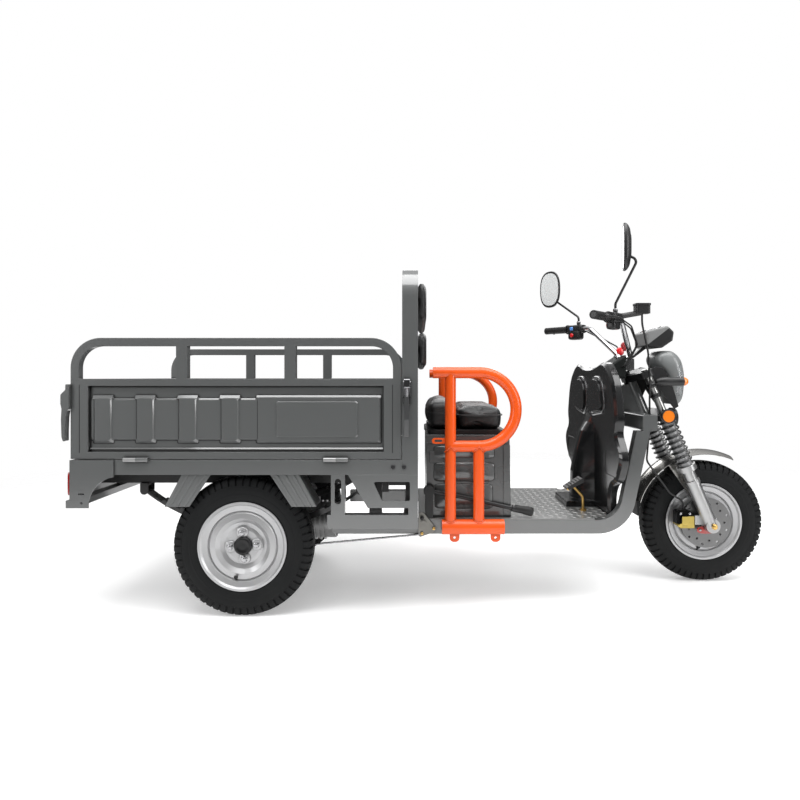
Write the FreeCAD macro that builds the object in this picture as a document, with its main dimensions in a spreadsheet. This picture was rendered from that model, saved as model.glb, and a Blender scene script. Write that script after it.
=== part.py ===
"""Electric cargo tricycle: a drop-sided load bed on a ladder frame over a driven rear axle,
a driver's seat box between two tubular side guards, a step-through footboard, and a telescopic
front fork that steers one front wheel.

Row frame: +X forwards, +Y to the rider's left, +Z up, origin on the ground below the middle of
the whole vehicle. Sizes are in millimetres and are driven by the cells of the sheet "Dims".
"""
import FreeCAD, Part
import math
import os
import Sketcher
from FreeCAD import Placement, Rotation, Vector

doc = FreeCAD.newDocument("cargo_tricycle")
sheet = doc.addObject("Spreadsheet::Sheet", "Dims")


class Size:
    """A number together with the sheet expression that gives it, so a feature can be bound to it."""

    def __init__(self, value, text):
        self.value = float(value)
        self.text = text

    @staticmethod
    def of(other):
        return other if isinstance(other, Size) else Size(other, f"{other:g}")

    def __add__(self, other):
        other = Size.of(other)
        return Size(self.value + other.value, f"({self.text} + {other.text})")

    def __sub__(self, other):
        other = Size.of(other)
        return Size(self.value - other.value, f"({self.text} - {other.text})")

    def __mul__(self, other):
        other = Size.of(other)
        return Size(self.value * other.value, f"({self.text} * {other.text})")

    def __truediv__(self, other):
        other = Size.of(other)
        return Size(self.value / other.value, f"({self.text} / {other.text})")

    def __neg__(self):
        return Size(-self.value, f"(-1 * {self.text})")

    def __radd__(self, other):
        return Size.of(other) + self

    def __rsub__(self, other):
        return Size.of(other) - self

    def __rmul__(self, other):
        return Size.of(other) * self


def sine(angle):
    return Size(math.sin(math.radians(angle.value)), f"sin({angle.text} * 1 deg)")


def cosine(angle):
    return Size(math.cos(math.radians(angle.value)), f"cos({angle.text} * 1 deg)")


class Dims:
    """The driving dimensions: each attribute is the Size of the sheet's cell of that alias."""


DIMS = {
    # whole vehicle
    "overall_length": 2845,
    "wheelbase": 1923,
    "rear_track": 810,
    "wheel_radius": 265,
    "tyre_width": 100,
    "running_gap": 0.05,
    "part_gap": 0.3,
    # load bed
    "bed_length": 1229,
    "bed_width": 960,
    "bed_underside": 540,
    "bed_frame_height": 55,
    "bed_sheet": 6,
    "bed_liner": 1.5,
    "bearer_width": 40,
    "hinge_offset": 8,
    "hinge_rise": 2,
    "hinge_radius": 8,
    "hinge_pin": 4,
    "hinge_knuckle": 45,
    "hinge_inset": 200,
    # gates
    "gate_gap": 4,
    "gate_height": 297,
    "gate_tube": 30,
    "gate_rail": 26,
    "gate_stile": 64,
    "gate_sheet": 3,
    "gate_recess": 14,
    "gate_relief": 11,
    "guard_rail_height": 152,
    "guard_rail_bend": 111,
    "guard_post_width": 42,
    "latch_width": 26,
    "latch_reach": 30,
    # bulkhead hoop
    "bulkhead_ahead_of_axle": 661,
    "hoop_depth": 59,
    "hoop_tube": 30,
    "hoop_top": 1318,
    "hoop_bend": 110,
    "upper_pad_level": 1196,
    "lower_pad_level": 1010,
    "pad_half_width": 400,
    "pad_depth": 30,
    # chassis
    "rail_height": 60,
    "rail_width": 40,
    "tube_wall": 3,
    "bracket_sheet": 4,
    "tie_hole": 5,
    "low_beam_bottom": 339,
    "low_beam_height": 52,
    "low_beam_back": 337,
    "hanger_width": 52,
    "bumper_reach": 16,
    "bumper_bottom": 417,
    "fender_sheet": 3,
    "fender_drop": 120,
    # rear suspension and drive
    "spring_spacing": 560,
    "spring_half_length": 430,
    "leaf_thickness": 8,
    "leaf_width": 50,
    "leaf_count": 5,
    "axle_tube_radius": 30,
    "stub_radius": 12,
    "motor_length": 200,
    "motor_radius": 78,
    # wheels
    "rim_radius": 168,
    "bolt_circle": 50,
    "disc_radius": 110,
    # footboard frame
    "deck_half_width": 335,
    "deck_tube_width": 40,
    "deck_tube_height": 54,
    "deck_underside": 285,
    "deck_corner": 810,
    "deck_lean": 11.8,
    "deck_bend": 150,
    "deck_top": 690,
    "deck_plate": 5,
    "yoke_height": 63,
    "yoke_depth": 58,
    "shield_set_back": 45.5,
    "shield_depth": 35,
    "shield_wall": 4,
    # seat
    "seat_box_back": 34,
    "seat_box_front": 372,
    "seat_box_half_width": 300,
    "seat_box_top": 672,
    "seat_pan": 18,
    "seat_lip_depth": 118,
    "seat_lip_top": 808,
    "cushion_height": 88,
    "emboss": 3,
    # side guards
    "guard_plane": 370,
    "guard_tube": 44,
    "guard_loop_top": 920,
    "guard_loop_bottom": 634,
    "guard_back": 58,
    "guard_loop_front": 403,
    "guard_post_back": 126,
    "guard_post_front": 236,
    "guard_foot_height": 58,
    "guard_foot_back": 93,
    "guard_foot_length": 241,
    "ear_back": 142,
    "ear_front": 301,
    # front fork
    "rake": 23,
    "fork_offset": 45,
    "leg_spacing": 220,
    "slider_radius": 29,
    "slider_top": 281,
    "stanchion_radius": 17,
    "spring_radius": 38,
    "spring_wire": 8,
    "spring_coils": 9,
    "lower_clamp": 500,
    "upper_clamp": 695,
    "clamp_height": 28,
    "axle_radius": 8,
    "stem_radius": 14,
    "fender_radius": 300,
    # handlebar
    "bar_radius": 11,
    "bar_half_span": 430,
    "bar_height": 1140,
    "bar_tip_reach": 665,
    "grip_radius": 17,
    "grip_length": 138,
    "mirror_height": 186,
    "mirror_width": 116,
}

d = Dims()
for row, (alias, value) in enumerate(DIMS.items(), start=1):
    sheet.set(f"A{row}", alias)
    sheet.set(f"B{row}", str(value))
    sheet.setAlias(f"B{row}", alias)
    setattr(d, alias, Size(value, f"Dims.{alias}"))
doc.recompute()

# Places that many pieces share.
front_axle_x = d.overall_length / 2 - d.wheel_radius
rear_axle_x = front_axle_x - d.wheelbase
cab_x = rear_axle_x + d.bulkhead_ahead_of_axle
bed_front_x = cab_x - d.hoop_depth
bed_back_x = bed_front_x - d.bed_length
bed_side_y = d.bed_width / 2
bed_top_z = d.bed_underside + d.bed_frame_height
gate_bottom_z = bed_top_z + d.gate_gap
gate_top_z = gate_bottom_z + d.gate_height
deck_top_z = d.deck_underside + d.deck_tube_height
axle_z = d.wheel_radius
NODES = {}


def number(value):
    return value.value if isinstance(value, Size) else float(value)


def in_order(a, b):
    return sorted((Size.of(a), Size.of(b)), key=number)


def bind(thing, name, size):
    """Sets a property from a Size or a number, bound to the sheet where the size comes from there."""
    thing.setExpression(name, Size.of(size).text)


def at(thing, x, y, z, rotation=None):
    """Places a thing at x, y, z, each a number or a Size."""
    x, y, z = Size.of(x), Size.of(y), Size.of(z)
    thing.Placement = Placement(Vector(x.value, y.value, z.value), rotation or Rotation())
    for axis, size in (("x", x), ("y", y), ("z", z)):
        thing.setExpression(f"Placement.Base.{axis}", size.text)
    return thing


def box(x0, x1, y0, y1, z0, z1):
    thing = doc.addObject("Part::Box", "Block")
    for name, low, high in (("Length", x0, x1), ("Width", y0, y1), ("Height", z0, z1)):
        bind(thing, name, Size.of(high) - Size.of(low))
    return at(thing, x0, y0, z0)


ALONG_X = Rotation(Vector(0, 1, 0), 90)
ALONG_Y = Rotation(Vector(1, 0, 0), -90)


def rod(x, y, z, radius, length, rotation=None):
    """A round bar that starts at x, y, z and runs along the turned Z axis."""
    thing = doc.addObject("Part::Cylinder", "Rod")
    bind(thing, "Radius", radius)
    bind(thing, "Height", length)
    return at(thing, x, y, z, rotation)


def fuse(parts):
    thing = doc.addObject("Part::MultiFuse", "Joined")
    thing.Shapes = parts
    return thing


def cut(base, tools):
    thing = doc.addObject("Part::Cut", "Cut")
    thing.Base = base
    thing.Tool = fuse(tools) if isinstance(tools, list) and len(tools) > 1 else \
        (tools[0] if isinstance(tools, list) else tools)
    return thing


def common(one, other):
    thing = doc.addObject("Part::Common", "Shared")
    thing.Base = one
    thing.Tool = other
    return thing


def mirrored(source):
    """The same piece on the other side of the vehicle."""
    thing = doc.addObject("Part::Mirroring", "OtherSide")
    thing.Source = source
    thing.Normal = Vector(0, 1, 0)
    return thing


def group(things):
    thing = doc.addObject("Part::Compound", "Group")
    thing.Links = things
    return thing


def pair(source):
    """A piece and its mirror image, as two solids of one node."""
    return group([source, mirrored(source)])


def shaped(shape):
    thing = doc.addObject("Part::Feature", "Formed")
    thing.Shape = shape
    return thing


def node(label, thing):
    thing.Label = label
    NODES[label] = thing
    return thing


def plane_of(body, role):
    return next(f for f in body.Origin.OriginFeatures if f.Role == role)


def sketch(body, role, loops, circles=()):
    """A sketch on one of the body's own planes: closed loops of corners, and (u, v, radius) circles."""
    drawing = body.newObject("Sketcher::SketchObject", "Profile")
    drawing.AttachmentSupport = [(plane_of(body, role), "")]
    drawing.MapMode = "FlatFace"
    bound = []

    def hold(kind, geometry, position, size):
        index = drawing.addConstraint(
            Sketcher.Constraint(kind, -1, 1, geometry, position, size.value))
        bound.append((index, size.text))

    for loop in loops:
        corners = [(Size.of(u), Size.of(v)) for u, v in loop]
        spots = [Vector(u.value, v.value, 0) for u, v in corners]
        lines = [drawing.addGeometry(Part.LineSegment(a, b), False)
                 for a, b in zip(spots, spots[1:] + spots[:1])]
        for line, following in zip(lines, lines[1:] + lines[:1]):
            drawing.addConstraint(Sketcher.Constraint("Coincident", line, 2, following, 1))
        for line, (u, v) in zip(lines, corners):
            hold("DistanceX", line, 1, u)
            hold("DistanceY", line, 1, v)
    for u, v, radius in circles:
        u, v, radius = Size.of(u), Size.of(v), Size.of(radius)
        ring = Part.Circle(Vector(u.value, v.value, 0), Vector(0, 0, 1), radius.value)
        index = drawing.addGeometry(ring, False)
        hold("DistanceX", index, 3, u)
        hold("DistanceY", index, 3, v)
        index = drawing.addConstraint(Sketcher.Constraint("Radius", index, radius.value))
        bound.append((index, radius.text))
    for index, text in bound:
        drawing.setExpression(f"Constraints[{index}]", text)
    return drawing


ACROSS = {"XY_Plane": 2, "XZ_Plane": 1, "YZ_Plane": 0}
ON_A_SPOT = 0.01


def leaves_plane(edge, spot, role):
    """Whether a straight edge runs out of the sketch plane at the spot."""
    ends = [vertex.Point for vertex in edge.Vertexes]
    if len(ends) != 2 or abs(edge.Length - ends[0].distanceToPoint(ends[1])) > ON_A_SPOT:
        return False
    across = ACROSS[role]
    inside = [axis for axis in range(3) if axis != across]
    return (abs(ends[0][across] - ends[1][across]) > ON_A_SPOT
            and any(math.dist([end[axis] for axis in inside], spot) < ON_A_SPOT for end in ends))


def lies_at(edge, level, role):
    """Whether an edge lies in the face at one level across the sketch plane."""
    bounds = edge.BoundBox
    low = (bounds.XMin, bounds.YMin, bounds.ZMin)[ACROSS[role]]
    high = (bounds.XMax, bounds.YMax, bounds.ZMax)[ACROSS[role]]
    return abs(low - level) < ON_A_SPOT and abs(high - level) < ON_A_SPOT


def round_off(body, last, radius, chosen):
    """Rounds the edges of a body's last feature that the test picks, and returns the new feature."""
    names = [f"Edge{i}" for i, edge in enumerate(last.Shape.Edges, start=1) if chosen(edge)]
    fillet = body.newObject("PartDesign::Fillet", "Rounding")
    fillet.Base = (last, names)
    bind(fillet, "Radius", radius)
    body.Tip = fillet
    doc.recompute()
    return fillet


def plate(role, corners, low, high, holes=(), circles=(), rounds=(), taper=None, crowns=(), from_high=False):
    """A flat piece: an outline in a plane, padded from low to high across that plane.

    Rounds are (radius, [corner numbers]); the corners of the holes are numbered on after them.
    Crowns are (radius, "low" or "high"), for the edges of that face. A tapered piece narrows away
    from the outline, which lies in the high face where from_high is set and in every XZ piece.
    """
    body = doc.addObject("PartDesign::Body", "Plate")
    drawing = sketch(body, role, [corners, *holes], circles)
    pad = body.newObject("PartDesign::Pad", "Thickness")
    pad.Profile = drawing
    low, high = Size.of(low), Size.of(high)
    bind(pad, "Length", high - low)
    pad.Reversed = from_high and role != "XZ_Plane"
    if taper is not None:
        bind(pad, "TaperAngle", taper)
    last = pad
    if rounds or crowns:
        doc.recompute()
    spots = [(number(u), number(v)) for loop in [corners, *holes] for u, v in loop]
    for radius, numbers in rounds:
        last = round_off(body, last, radius,
                         lambda edge: any(leaves_plane(edge, spots[n], role) for n in numbers))
    thickness = high.value - low.value
    downwards = role == "XZ_Plane" or from_high
    levels = {"low": -thickness, "high": 0} if downwards else {"low": 0, "high": thickness}
    for radius, end in crowns:
        last = round_off(body, last, radius, lambda edge: lies_at(edge, levels[end], role))
    base = high if downwards else low
    return at(body, *(base if axis == ACROSS[role] else 0 for axis in range(3)))


def oblong(u0, u1, v0, v1):
    """The four corners of a rectangle, counter-clockwise from the low corner."""
    return [(u0, v0), (u1, v0), (u1, v1), (u0, v1)]


def turned(profile, centre, rounds=()):
    """A profile of (y, radius) corners turned about the wheel's own axle line."""
    body = doc.addObject("PartDesign::Body", "Turned")
    drawing = sketch(body, "YZ_Plane", [profile])
    turning = body.newObject("PartDesign::Revolution", "Turning")
    turning.Profile = drawing
    turning.ReferenceAxis = (drawing, ["H_Axis"])
    turning.Angle = 360
    last = turning
    if rounds:
        doc.recompute()
    for radius, numbers in rounds:
        spots = [(number(profile[n][0]), number(profile[n][1])) for n in numbers]
        last = round_off(body, last, radius,
                         lambda edge: isinstance(edge.Curve, Part.Circle)
                         and any(math.dist((edge.Curve.Center.y, edge.Curve.Radius), s) < ON_A_SPOT
                                 for s in spots))
    return at(body, *centre)


def sided(profile, side):
    """A profile of (y, radius) corners for one side of the vehicle, kept counter-clockwise."""
    flipped = [(y * side, r) for y, r in profile]
    return flipped if side > 0 else flipped[::-1]


def bent_path(points, radius):
    """Straight runs through the points, joined by tangent arcs of one radius."""
    edges, start = [], points[0]
    most_of_half = 0.48
    for before, corner, after in zip(points, points[1:], points[2:]):
        into = (corner - before).normalize()
        out = (after - corner).normalize()
        turn = into.getAngle(out)
        room = most_of_half * min((corner - before).Length, (after - corner).Length)
        back = min(radius * math.tan(turn / 2), room)
        r = back / math.tan(turn / 2)
        first, last = corner - into * back, corner + out * back
        inward = (out - into).normalize()
        middle = corner + inward * (r / math.cos(turn / 2) - r)
        edges.append(Part.LineSegment(start, first).toShape())
        edges.append(Part.Arc(first, middle, last).toShape())
        start = last
    edges.append(Part.LineSegment(start, points[-1]).toShape())
    return Part.Wire(edges)


def place(point):
    return Vector(*(number(c) for c in point))


def tube(points, bend, radius):
    """A round bar along a bent path, given by its corners."""
    points = [place(p) for p in points]
    path = bent_path(points, number(bend))
    along = (points[1] - points[0]).normalize()
    ring = Part.Wire([Part.makeCircle(number(radius), points[0], along)])
    return shaped(path.makePipeShell([ring], True, False))


def rounded_loop(centre, along, across, half_long, half_wide, fullness, count=16):
    """A closed smooth outline between an ellipse, at fullness 2, and a rectangle."""
    points = []
    for step in range(count):
        turn = 2 * math.pi * step / count
        c, s = math.cos(turn), math.sin(turn)
        u = math.copysign(abs(c) ** (2 / fullness), c) * number(half_long)
        v = math.copysign(abs(s) ** (2 / fullness), s) * number(half_wide)
        points.append(centre + along * u + across * v)
    curve = Part.BSplineCurve()
    curve.interpolate(points, PeriodicFlag=True)
    return Part.Wire([curve.toShape()])


def moulded(outlines):
    """A solid form through a row of closed outlines."""
    return shaped(Part.makeLoft(outlines, True, False))


X_AXIS, Y_AXIS, Z_AXIS = Vector(1, 0, 0), Vector(0, 1, 0), Vector(0, 0, 1)

# Chassis: two box rails under the load bed, tied by cross tubes, with drops to the footboard frame.
rail_y = d.spring_spacing / 2
rail_bottom = d.bed_underside - d.rail_height
rail_half = d.rail_width / 2
low_beam_top = d.low_beam_bottom + d.low_beam_height
rail_end_inset = 20
cross_tube_half, cross_tube_inset = 20, 10
cross_tube_reaches = (-540, -330, 330, 540)
drop_depth = 50
rear_drop_ahead = -195


def box_rail(y, x0, x1):
    """A hollow rail: the outer rectangle with the tube wall left round it."""
    wall = d.tube_wall
    outer = oblong(y - rail_half, y + rail_half, rail_bottom, d.bed_underside)
    inner = oblong(y - rail_half + wall, y + rail_half - wall, rail_bottom + wall, d.bed_underside - wall)
    return plate("YZ_Plane", outer, x0, x1, holes=[inner])


chassis = []
for side in (-1, 1):
    y = rail_y * side
    chassis.append(box_rail(y, bed_back_x + rail_end_inset, cab_x))
    chassis.append(box(cab_x - drop_depth, cab_x, y - rail_half, y + rail_half, low_beam_top, rail_bottom))
    chassis.append(box(cab_x + rear_drop_ahead, cab_x + rear_drop_ahead + drop_depth,
                       y - rail_half, y + rail_half, deck_top_z, rail_bottom))
for reach in cross_tube_reaches:
    x = rear_axle_x + reach
    chassis.append(box(x - cross_tube_half, x + cross_tube_half, -rail_y, rail_y,
                       rail_bottom + cross_tube_inset, d.bed_underside - cross_tube_inset))
beam_end_y = bed_side_y - 40
chassis.append(box(cab_x - drop_depth, cab_x, -beam_end_y, beam_end_y, d.low_beam_bottom, low_beam_top))
node("chassis_frame", fuse(chassis))

# Load bed floor: a steel sheet on cross bearers with a folded skirt, and a liner sheet inside the gates.
skirt = d.bed_sheet
bearer_half = d.bearer_width / 2
bearer_inset = 3
liner_inset = d.gate_tube + 6
bearer_reaches = (-560, -330, 330, 520)
floor_parts = [box(bed_back_x, bed_front_x, -bed_side_y, bed_side_y, bed_top_z - skirt, bed_top_z),
               box(bed_back_x, bed_back_x + skirt, -bed_side_y, bed_side_y, d.bed_underside, bed_top_z),
               box(bed_back_x + liner_inset, bed_front_x - 6, -bed_side_y + liner_inset,
                   bed_side_y - liner_inset, bed_top_z, bed_top_z + d.bed_liner)]
for side in (-1, 1):
    low, high = in_order(bed_side_y * side, (bed_side_y - skirt) * side)
    floor_parts.append(box(bed_back_x, bed_front_x, low, high, d.bed_underside, bed_top_z))
for reach in bearer_reaches:
    x = rear_axle_x + reach
    floor_parts.append(box(x - bearer_half, x + bearer_half, -bed_side_y + bearer_inset,
                           bed_side_y - bearer_inset, d.bed_underside, bed_top_z - bearer_inset))
node("bed_floor", fuse(floor_parts))

# Hinges: each has a fixed knuckle with its pin on the bed, and a bored knuckle on the gate.
hinge_axis_y = bed_side_y + d.hinge_offset
hinge_axis_z = bed_top_z + d.hinge_rise
tail_hinge_x = bed_back_x - d.hinge_offset
tail_hinge_reach = 300
hinge_starts = [bed_back_x + d.hinge_inset, bed_front_x - d.hinge_inset - d.hinge_knuckle * 2]
tail_hinge_starts = [-tail_hinge_reach, tail_hinge_reach - 2 * d.hinge_knuckle]
pin_seat = 5


def hinge_half(role, start, fixed):
    """One half of a lift-off hinge on the right side gate ("x") or the tailgate ("y")."""
    length, radius, level = d.hinge_knuckle, d.hinge_radius, hinge_axis_z
    first = start if fixed else start + length + d.part_gap
    leaf_low, leaf_high = (level - radius, level) if fixed else (gate_bottom_z + 1, level + radius)
    sunk = 0 if fixed else 1
    bore_radius = d.hinge_pin + d.running_gap
    if role == "x":
        across = -hinge_axis_y
        barrel = rod(first, across, level, radius, length, ALONG_X)
        leaf = box(first, first + length, across, -bed_side_y + sunk, leaf_low, leaf_high)
        pin = rod(first + length - pin_seat, across, level, d.hinge_pin, length + pin_seat, ALONG_X)
        bore = rod(first - 1, across, level, bore_radius, length + 2, ALONG_X)
    else:
        barrel = rod(tail_hinge_x, first, level, radius, length, ALONG_Y)
        leaf = box(tail_hinge_x, bed_back_x + sunk, first, first + length, leaf_low, leaf_high)
        pin = rod(tail_hinge_x, first + length - pin_seat, level, d.hinge_pin, length + pin_seat, ALONG_Y)
        bore = rod(tail_hinge_x, first - 1, level, bore_radius, length + 2, ALONG_Y)
    return fuse([barrel, leaf, pin]) if fixed else cut(fuse([barrel, leaf]), bore)


fixed_halves = []
for start in hinge_starts:
    right_half = hinge_half("x", start, True)
    fixed_halves += [right_half, mirrored(right_half)]
fixed_halves += [hinge_half("y", start, True) for start in tail_hinge_starts]
node("gate_hinges", group(fixed_halves))

# Gates: a welded box-tube frame round a pressed sheet, with a guard rail above the side gates.
field_bottom, field_top = gate_bottom_z + d.gate_rail + 42, gate_top_z - d.gate_rail - 48
band_corner, band_slope = 12, 45
low_relief = d.gate_relief * 0.6


def pressing(role, u0, u1, v0, v1, face, sheet_back, rise):
    """A raised field with sloped sides: the raised solid, and the hollow behind it."""
    forms = []
    for base, inset in ((face, 0), (sheet_back, d.gate_sheet * 0.6)):
        corners = oblong(u0 + inset, u1 - inset, v0 + inset, v1 - inset)
        forms.append(plate(role, corners, base - rise, base, rounds=[(band_corner, [0, 1, 2, 3])],
                           taper=-band_slope, from_high=True))
    return forms


def gate(role, start, end, outer, fields, rail):
    """A gate whose outer face looks towards -Y or -X, between two places along its own length."""
    start, end = Size.of(start), Size.of(end)
    inner = outer + d.gate_tube
    bottom, top = gate_bottom_z, gate_top_z
    w0, w1 = start + d.gate_stile, end - d.gate_stile
    b0, b1 = bottom + d.gate_rail, top - d.gate_rail
    frame = plate(role, oblong(start, end, bottom, top), outer, inner, holes=[oblong(w0, w1, b0, b1)])
    face = outer + d.gate_recess
    back = face + d.gate_sheet
    seat = 5
    panel = plate(role, oblong(w0 - seat, w1 + seat, b0 - seat, b1 + seat), face, back)
    raised, hollows = [], []
    opening = w1 - w0
    for a, b, drop, lift, rise in fields:
        u0, u1 = w0 + opening * a, w0 + opening * b
        lump, hollow = pressing(role, u0, u1, field_bottom - drop, field_top + lift, face, back, rise)
        raised.append(lump)
        hollows.append(hollow)
    parts = [cut(fuse([frame, panel, *raised]), hollows)]
    if rail:
        crest = top + d.guard_rail_height
        t = d.gate_tube
        bow = [(start, top - 1), (start, crest), (end, crest), (end, top - 1),
               (end - t, top - 1), (end - t, crest - t), (start + t, crest - t), (start + t, top - 1)]
        parts.append(plate(role, bow, outer, inner,
                           rounds=[(d.guard_rail_bend, [1, 2]), (d.guard_rail_bend - t, [5, 6])]))
        half_post = d.guard_post_width / 2
        for share in (0.336, 0.664):
            x = start + (end - start) * share
            parts.append(box(x - half_post, x + half_post, outer, inner, top - 1, crest - t + 1))
    return parts


# Each field: where it starts and ends along the opening, how far it drops and lifts past the field line,
# and its rise.
band_start, band_pitch, band_width = 0.012, 0.1434, 0.0715
side_fields = [(0.003, 0.9, 0, 3, low_relief)]
side_fields += [(band_start + band_pitch * i, band_start + band_pitch * i + band_width, 11, 14, d.gate_relief)
                for i in range(4)]
side_fields += [(0.566, 0.992, 11, 14, d.gate_relief - 3), (0.628, 0.919, -4, -1, d.gate_relief)]
end_fields = [(0.01, 0.99, 0, 3, low_relief)]
end_fields += [(0.05 + 0.2 * i, 0.15 + 0.2 * i, 11, 14, d.gate_relief) for i in range(5)]

gate_end_x = bed_front_x - d.gate_gap
parts = gate("XZ_Plane", bed_back_x, gate_end_x, -bed_side_y, side_fields, True)
parts += [hinge_half("x", start, False) for start in hinge_starts]
# Its over-centre latch: a hook over the tailgate's corner, an eye and a long lever that hangs down.
lever_profile = [(1, -20), (1, -112), (-7, -118), (-11, -140), (-13, -190), (-13, -228), (-20, -233),
                 (-26, -214), (-28, -150), (-26, -110), (-d.latch_reach, -92), (-d.latch_reach, -58),
                 (-12, -40), (-12, -20)]
latch_outline = [(bed_back_x + reach, gate_top_z + drop) for reach, drop in lever_profile]
latch_overhang = 14
latch_start = -bed_side_y - latch_overhang
parts.append(plate("XZ_Plane", latch_outline, latch_start, latch_start + d.latch_width,
                   rounds=[(4, [2, 5, 6]), (7, [10, 11]), (4, [12, 13])]))
right_gate = node("gate_right", fuse(parts))
node("gate_left", mirrored(right_gate))

# Tailgate: the same pressed panel without a rail.
tail_half = bed_side_y - d.gate_tube - d.gate_gap
parts = gate("YZ_Plane", -tail_half, tail_half, bed_back_x, end_fields, False)
parts += [hinge_half("y", start, False) for start in tail_hinge_starts]
node("tailgate", fuse(parts))

# Bulkhead: an upright hoop of flat tube behind the rider, with a panel below and two bars for the pads.
hoop_side = bed_side_y - d.hoop_tube
hoop_inner_top = d.hoop_top - d.hoop_tube
hoop = plate("YZ_Plane",
             [(-bed_side_y, d.bed_underside), (-bed_side_y, d.hoop_top), (bed_side_y, d.hoop_top),
              (bed_side_y, d.bed_underside), (hoop_side, d.bed_underside), (hoop_side, hoop_inner_top),
              (-hoop_side, hoop_inner_top), (-hoop_side, d.bed_underside)],
             bed_front_x, cab_x, rounds=[(d.hoop_bend, [1, 2]), (d.hoop_bend - d.hoop_tube, [5, 6])])
weld = 1
parts = [hoop] + gate("YZ_Plane", -hoop_side - weld, hoop_side + weld, bed_front_x, end_fields, False)
parts.append(box(bed_front_x, cab_x, -hoop_side - weld, hoop_side + weld, d.bed_underside, bed_top_z))
bar_half = 15
for level in (d.upper_pad_level, d.lower_pad_level):
    parts.append(box(cab_x - 2 * bar_half, cab_x, -hoop_side - weld, hoop_side + weld,
                     level - bar_half, level + bar_half))
node("bulkhead", fuse(parts))

# Gate latches: on each hoop post a rubber-headed hook with a long pull-down lever.
latch_x = bed_front_x + 5
latch_y = -bed_side_y
latch_base = plate("YZ_Plane", [(latch_y, gate_top_z - 6), (latch_y - 5, gate_top_z - 12),
                                (latch_y - 5, gate_top_z - 92), (latch_y, gate_top_z - 96)],
                   latch_x, latch_x + d.latch_width)
latch_head = plate("YZ_Plane", oblong(latch_y - 20, latch_y - 4, gate_top_z - 34, gate_top_z),
                   latch_x + 2, latch_x + d.latch_width - 2, rounds=[(5, [0, 3])])
latch_hook = tube([(latch_x + 13, latch_y - 13, gate_top_z - 30),
                   (latch_x + 13, latch_y - 15, gate_top_z - 66)],
                  10, 5)
latch_lever = plate("YZ_Plane",
                    [(latch_y - 2, gate_top_z - 60), (latch_y - 18, gate_top_z - 60),
                     (latch_y - 22, gate_top_z - 150), (latch_y - 15, gate_top_z - 216),
                     (latch_y - 9, gate_top_z - 212), (latch_y - 14, gate_top_z - 150),
                     (latch_y - 9, gate_top_z - 92), (latch_y - 2, gate_top_z - 86)],
                    latch_x + 3, latch_x + d.latch_width - 5, rounds=[(8, [2]), (3, [3, 4])])
node("gate_latches", pair(fuse([latch_base, latch_head, latch_hook, latch_lever])))

# Side frame: pressed steel brackets and beams that hang below the bed along each side.
skin = d.bracket_sheet
outer = -bed_side_y
flange_y = outer + 40
bracket_back = cab_x - 260
bracket_foot = low_beam_top + 26
frame_corner = 6
side_plate = plate(
    "XZ_Plane",
    [(bracket_back, d.bed_underside), (cab_x, d.bed_underside), (cab_x, low_beam_top),
     (cab_x - 36, low_beam_top), (cab_x - 36, bracket_foot), (bracket_back + 74, bracket_foot)],
    outer, outer + skin,
    holes=[[(cab_x - 166, d.bed_underside - 26), (cab_x - 30, d.bed_underside - 26),
            (cab_x - 30, low_beam_top + 52), (cab_x - 133, low_beam_top + 52)]],
    rounds=[(frame_corner, [6, 7, 8, 9])])
low_beam = plate("XZ_Plane", oblong(cab_x - d.low_beam_back, cab_x, d.low_beam_bottom, low_beam_top),
                 outer, flange_y, rounds=[(10, [0])])
hanger_x0 = cab_x - d.low_beam_back + 14
hanger_x1 = hanger_x0 + d.hanger_width
slot_x0, slot_x1 = hanger_x0 + 14, hanger_x0 + 38
hanger = plate("XZ_Plane", oblong(hanger_x0, hanger_x1, low_beam_top, d.bed_underside), outer, outer + skin,
               holes=[oblong(slot_x0, slot_x1, low_beam_top + 40, d.bed_underside - 15)],
               rounds=[((slot_x1 - slot_x0) / 2 - 0.1, [4, 5, 6, 7])])
near_side = [side_plate, low_beam, hanger]
for x in (hanger_x0, hanger_x1 - skin, cab_x - skin):
    near_side.append(box(x, x + skin, outer, flange_y, low_beam_top, d.bed_underside))
node("side_frame", pair(fuse(near_side)))

# Rear bracket and bumper: side cheeks with an arched front edge, joined by a folded cross member.
cheek_outer = outer - skin - d.part_gap
cheek_inner = outer - d.part_gap
bumper_fold = d.bumper_bottom + 28
cheek_front = bed_back_x + 161
cheek_back = bed_back_x - 2
arch_radius = 109
cheek = plate("XZ_Plane",
              [(cheek_back, bed_top_z), (cheek_front, bed_top_z), (cheek_front, d.bumper_bottom),
               (bed_back_x - d.bumper_reach, d.bumper_bottom), (bed_back_x - d.bumper_reach, bumper_fold),
               (cheek_back, bumper_fold)], cheek_outer, cheek_inner)
through = 20
arch = rod(cheek_front + 16, outer - through, d.bumper_bottom + 7, arch_radius, 2 * through, ALONG_Y)
tie_x, tie_z = bed_back_x + 42, d.bumper_bottom + 19
tie_bore = rod(tie_x, outer - through, tie_z, d.tie_hole, 2 * through, ALONG_Y)
slot_cut = box(bed_back_x + 30, bed_back_x + 52, outer - through, outer + through, tie_z + 30, tie_z + 36)
cheek = cut(cheek, [arch, tie_bore, slot_cut])
beam_top = bed_top_z - 60
beam = plate("XZ_Plane",
             [(cheek_back, beam_top), (cheek_back, bumper_fold), (bed_back_x - d.bumper_reach, bumper_fold),
              (bed_back_x - d.bumper_reach, d.bumper_bottom), (bed_back_x + 20, d.bumper_bottom),
              (bed_back_x + 20, d.bumper_bottom + 24), (bed_back_x + 4, d.bumper_bottom + 34),
              (bed_back_x + 4, beam_top)],
             cheek_inner, -cheek_inner)
node("rear_bumper", fuse([beam, cheek, mirrored(cheek)]))

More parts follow.
